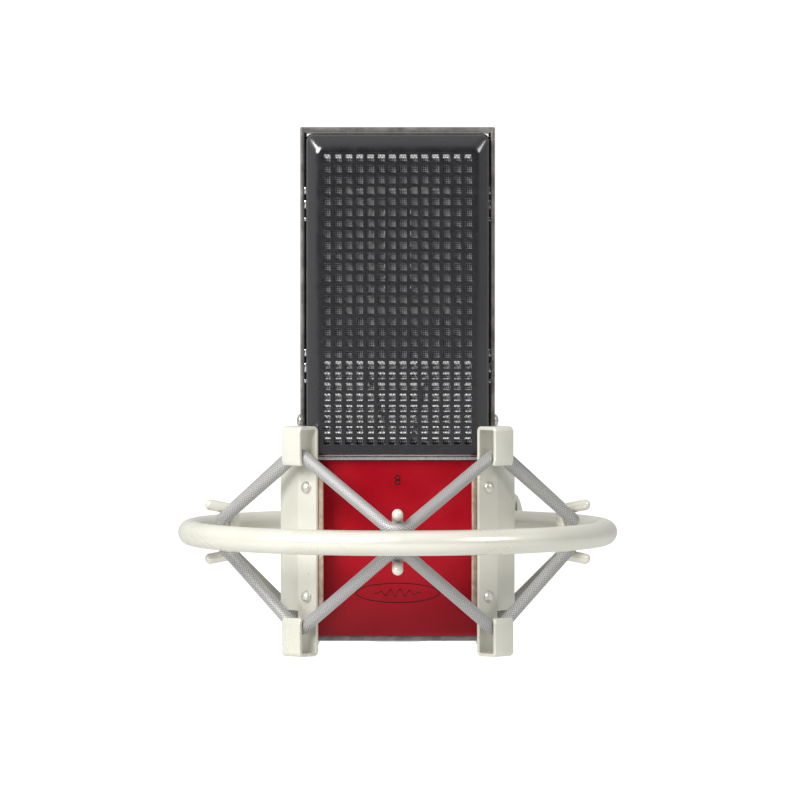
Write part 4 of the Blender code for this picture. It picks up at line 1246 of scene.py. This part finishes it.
def build_ring():
    centre = Vector((0, 0, RING_Z))
    shape = bmesh.new()
    steps = 192
    circle = [centre + spoke(math.tau * i / steps) * RING_RADIUS for i in range(steps)]
    sweep(shape, circle, [RING_TUBE] * steps, 40, closed=True)
    piece("shock_ring_wire", shape, "paint", "ring", 60, ["shock_ring"])
    root_z = PIN_TIP_Z - (PIN_TIP - POST_RADIUS) * math.tan(PIN_SPLAY)
    for number, label in enumerate(("right", "rear", "left", "front")):
        out = spoke(number * math.pi / 2)
        up = Vector((0, 0, 1))
        corners = [
            centre + out * PIN_TIP + up * PIN_TIP_Z, centre + out * POST_RADIUS + up * root_z,
            centre + out * POST_RADIUS - up * root_z, centre + out * PIN_TIP - up * PIN_TIP_Z,
        ]
        path, radii = rounded_ends(rounded_path(corners, 1.8 * MM, 8, closed=False), POST_WIRE)
        shape = bmesh.new()
        sweep(shape, path, radii, 28, closed=False)
        piece(f"{label}_post_wire", shape, "paint", "ring", 60)
        shape = bmesh.new()
        start, end = POST_RADIUS + 0.6 * MM, RING_RADIUS - RING_TUBE + 0.6 * MM
        reach = [start + (end - start) * i / 12 for i in range(13)]
        flare = [1.0 + 0.35 * abs(i / 6 - 1) ** 4 for i in range(13)]
        path = [centre + out * r for r in reach]
        sweep(shape, path, [1.38 * MM * f for f in flare], 28, closed=False)
        piece(f"{label}_post_stub", shape, "paint", "ring", 60)


def bend_corners(seats, radius):
    count = len(seats)
    corners = list(seats)
    for _ in range(8):
        moved = []
        for i, seat in enumerate(seats):
            towards = (corners[i - 1] - corners[i]).normalized()
            away = (corners[(i + 1) % count] - corners[i]).normalized()
            half = towards.angle(away) / 2
            moved.append(seat - (towards + away).normalized() * radius * (1 / math.sin(half) - 1))
        corners = moved
    return corners


def build_cord(node, pin_z, hook_z):
    seats = []
    for i in range(4):
        seats.append(spoke(math.pi / 2 * i) * CORD_PIN_RADIUS + Vector((0, 0, RING_Z + pin_z)))
        side = 1 if i in (0, 3) else -1
        facing = 1 if i in (0, 1) else -1
        place, width = quarter(side, facing)
        seats.append(place(CORD_IN_HOOK, hook_z, width / 2))
    path = rounded_path(bend_corners(seats, CORD_BEND), CORD_BEND, 14, closed=True)
    path = even_path(path, 1.2 * MM, True)
    radii = []
    for point in path:
        bend = min((point - seat).length for seat in seats)
        flat_seat = min((point - seat).length for seat in seats[::2])
        radius = CORD * (1.0 + 0.03 * math.exp(-((bend / (4 * MM)) ** 2)))
        radii.append(min(radius, 1.66 * MM) if flat_seat < 5 * MM else radius)
    shape = bmesh.new()
    sweep(shape, path, radii, 28, closed=True, sleeve=True)
    made = piece(f"{node}_sleeve", shape, "cord", None, 80, [node])
    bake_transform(made)


# ---------------------------------------------------------------- stand joint


def build_stand():
    low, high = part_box("stand_adapter")
    radius = BASE_RADIUS
    thread = 7.9 * MM
    floor = low.z + 10.5 * MM
    top = RING_Z - 20 * MM
    profile = [
        (0, floor), (thread, floor), (thread, low.z + 0.6 * MM), (thread + 0.6 * MM, low.z),
        (radius - 0.8 * MM, low.z), (radius, low.z + 0.8 * MM), (radius, top - 1.4 * MM),
        (radius - 1.4 * MM, top), (0, top),
    ]
    shape = bmesh.new()
    turned(shape, soft_profile(profile, 0.4 * MM), (0, PIVOT.y, 0), (0, 0, 1), 96)
    piece("adapter_base", shape, "paint", "stand", 40, ["stand_adapter"])
    inner, cheek = 6.3 * MM, 4.0 * MM
    for label, side in (("left", -1), ("right", 1)):
        shape = bmesh.new()
        arch = 7.0 * MM
        foot = top - RING_Z - 1.0 * MM

        def outline(inset, arch=arch, foot=foot):
            points = arc((0, 0), arch - inset, 0, 180, 24)
            return [(arch - inset, foot), *points, (-(arch - inset), foot)]

        run = edge_run(inner, inner + cheek, 0.5 * MM)

        def place(a, b, d, side=side):
            return Vector((d * side, PIVOT.y + a, RING_Z + b))

        slab(shape, outline, run, place)
        piece(f"{label}_cheek", shape, "paint", "stand", 40)



def build_lug():
    shape = bmesh.new()
    arch = 7.0 * MM
    half = 5.0 * MM

    def outline(inset):
        points = arc((0, 0), arch - inset, 130, -130, 28)
        return [(-16.2 * MM, -4.5 * MM + inset), (-16.2 * MM, 4.5 * MM - inset), *points]

    def place(a, b, d):
        return Vector((d, PIVOT.y + a, RING_Z + b))

    slab(shape, outline, edge_run(-half, half, 0.5 * MM), place)
    piece("lug_tongue", shape, "paint", "ring", 40, ["ring_lug"])


def build_knob():
    low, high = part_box("clamp_knob")
    start = low.x
    outline = (
        (6.0, 18.0), (9.6, 19.5), (10.4, 21.0), (10.4, 30.6), (9.2, 32.2), (6.9, 33.9), (4.4, 35.0),
        (1.8, 35.6), (0.0, 35.7),
    )
    profile = [(0, start), (6 * MM, start), *((r * MM, x * MM) for r, x in outline)]
    shape = bmesh.new()
    at = (0, PIVOT.y, RING_Z)
    turned(shape, soft_profile(profile, 1.6 * MM, 5), at, (1, 0, 0), 100, 5, 1.6 * MM, 7 * MM)
    piece("knob_grip", shape, "paint", "knob", 50, ["clamp_knob"])


# ---------------------------------------------------------------- kept CAD nodes

KEPT = {
    "front_trim": "trim", "rear_trim": "trim", "socket_insulator": "plastic",
    "socket_pin_1": "brass", "socket_pin_2": "brass", "socket_pin_3": "brass",
    "motor_plate": "plate", "left_magnet": "magnet", "centre_magnet": "magnet",
    "right_magnet": "magnet", "magnet_yoke": "steel", "top_clamp": "magnet",
    "bottom_clamp": "magnet", "top_clamp_screw": "steel", "bottom_clamp_screw": "steel",
    "bulkhead": "plate", "transformer_core": "core", "transformer_coil": "copper",
    "transformer_bracket": "steel",
    "thread_reducer": "brass", "pivot_bolt": "steel", "left_washer": "plastic",
    "right_washer": "plastic",
}


def finish_kept_nodes():
    for node, look in KEPT.items():
        kept = frame["nodes"][node]
        kept.data.materials.clear()
        kept.data.materials.append(LOOKS[look])
        weld = kept.modifiers.new("weld", "WELD")
        weld.merge_threshold = 0.00001
        bevel(kept, 0.12 * MM, 2, 35)


# ---------------------------------------------------------------- stage, light and camera


def build_stage():
    shape = bmesh.new()
    size, level = 6.0, cad_bounds[0][2] - 0.14
    steps = [-size + size * i / 6 for i in range(13)]
    grid = [[shape.verts.new((x, y, level)) for x in steps] for y in steps]
    for one, two in zip(grid, grid[1:]):
        for j in range(12):
            shape.faces.new((one[j], one[j + 1], two[j + 1], two[j]))
    piece("paper_floor", shape, "floor", None, 60)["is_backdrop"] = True


def area_light(name, at, aim, size, power, tall=None):
    light = bpy.data.lights.new(name, "AREA")
    light.shape = "RECTANGLE"
    light.size = size
    light.size_y = tall or size
    light.energy = power
    made = bpy.data.objects.new(name, light)
    bpy.context.scene.collection.objects.link(made)
    made.location = at
    made.rotation_euler = (Vector(aim) - Vector(at)).to_track_quat("-Z", "Y").to_euler()
    return made


def build_light():
    """White paper all round, falling off to a dark room behind the camera, and two softboxes."""
    scene = bpy.context.scene
    scene.view_settings.view_transform = "Standard"
    world = bpy.data.worlds.new("studio")
    world.use_nodes = True
    tree = world.node_tree
    nodes, links = tree.nodes, tree.links
    split = nodes.new("ShaderNodeSeparateXYZ")
    links.new(nodes.new("ShaderNodeTexCoord").outputs["Generated"], split.inputs[0])
    total = None
    for axis, start, end, low, high in ROOM_GLOW:
        ramp = nodes.new("ShaderNodeMapRange")
        ramp.interpolation_type = "SMOOTHSTEP"
        ramp.inputs["From Min"].default_value = start
        ramp.inputs["From Max"].default_value = end
        ramp.inputs["To Min"].default_value = low
        ramp.inputs["To Max"].default_value = high
        links.new(split.outputs[axis], ramp.inputs["Value"])
        if total is None:
            total = ramp.outputs[0]
        else:
            joined = nodes.new("ShaderNodeMath")
            joined.operation = "MULTIPLY"
            links.new(total, joined.inputs[0])
            links.new(ramp.outputs[0], joined.inputs[1])
            total = joined.outputs[0]
    background = nodes["Background"]
    background.inputs["Color"].default_value = (1, 1, 1, 1)
    links.new(total, background.inputs["Strength"])
    bright = nodes.new("ShaderNodeBackground")
    bright.inputs["Color"].default_value = (1, 1, 1, 1)
    bright.inputs["Strength"].default_value = 1.05
    mix = nodes.new("ShaderNodeMixShader")
    links.new(nodes.new("ShaderNodeLightPath").outputs["Is Camera Ray"], mix.inputs[0])
    links.new(background.outputs[0], mix.inputs[1])
    links.new(bright.outputs[0], mix.inputs[2])
    links.new(mix.outputs[0], nodes["World Output"].inputs["Surface"])
    scene.world = world
    aim = Vector((0, 0, RING_Z + 0.03))
    for name, direction, size, power in SOFTBOXES:
        area_light(name, aim + Vector(direction).normalized() * SOFTBOX_REACH, aim, size, power)


def build_camera():
    data = bpy.data.cameras.new("camera")
    data.lens = LENS
    data.sensor_width = 36.0
    data.clip_start = 0.01
    made = bpy.data.objects.new("camera", data)
    made.location = (CAMERA_SIDE, -CAMERA_DISTANCE, RING_Z + CAMERA_RISE)
    made.rotation_euler = (math.pi / 2 - CAMERA_PITCH, 0, 0)
    bpy.context.scene.collection.objects.link(made)
    bpy.context.scene.camera = made


# ---------------------------------------------------------------- assembly

build_body_frame()
build_slit_shade_strip()
build_cover("front_grille_cover", -1)
build_cover("rear_grille_cover", 1)
build_wire_mesh("front_mesh", WIRE_PITCH, 0.0)
build_wire_mesh("rear_mesh", WIRE_PITCH * 1.3, math.radians(45))
build_panel("front_panel")
build_panel("rear_panel")
build_marks()
build_clips()
build_screws()
build_socket()
build_ribbon("left_ribbon")
build_ribbon("right_ribbon")
build_motor_front()
build_leads()
build_bracket("left_bracket", -1)
build_bracket("right_bracket", 1)
build_strap()
for pad in ("front_left_pad", "front_right_pad", "rear_left_pad", "rear_right_pad"):
    build_pad(pad)
build_ring()
build_cord("upper_cord", CORD_PIN_Z, CORD_HOOKS[0])
build_cord("lower_cord", -CORD_PIN_Z, CORD_HOOKS[1])
build_stand()
build_lug()
build_knob()
finish_kept_nodes()
build_stage()
build_light()
build_camera()

boxes = {"cad": cad_bounds, "visual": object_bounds()}
{key: [list(corner) for corner in box] for key, box in boxes.items()}
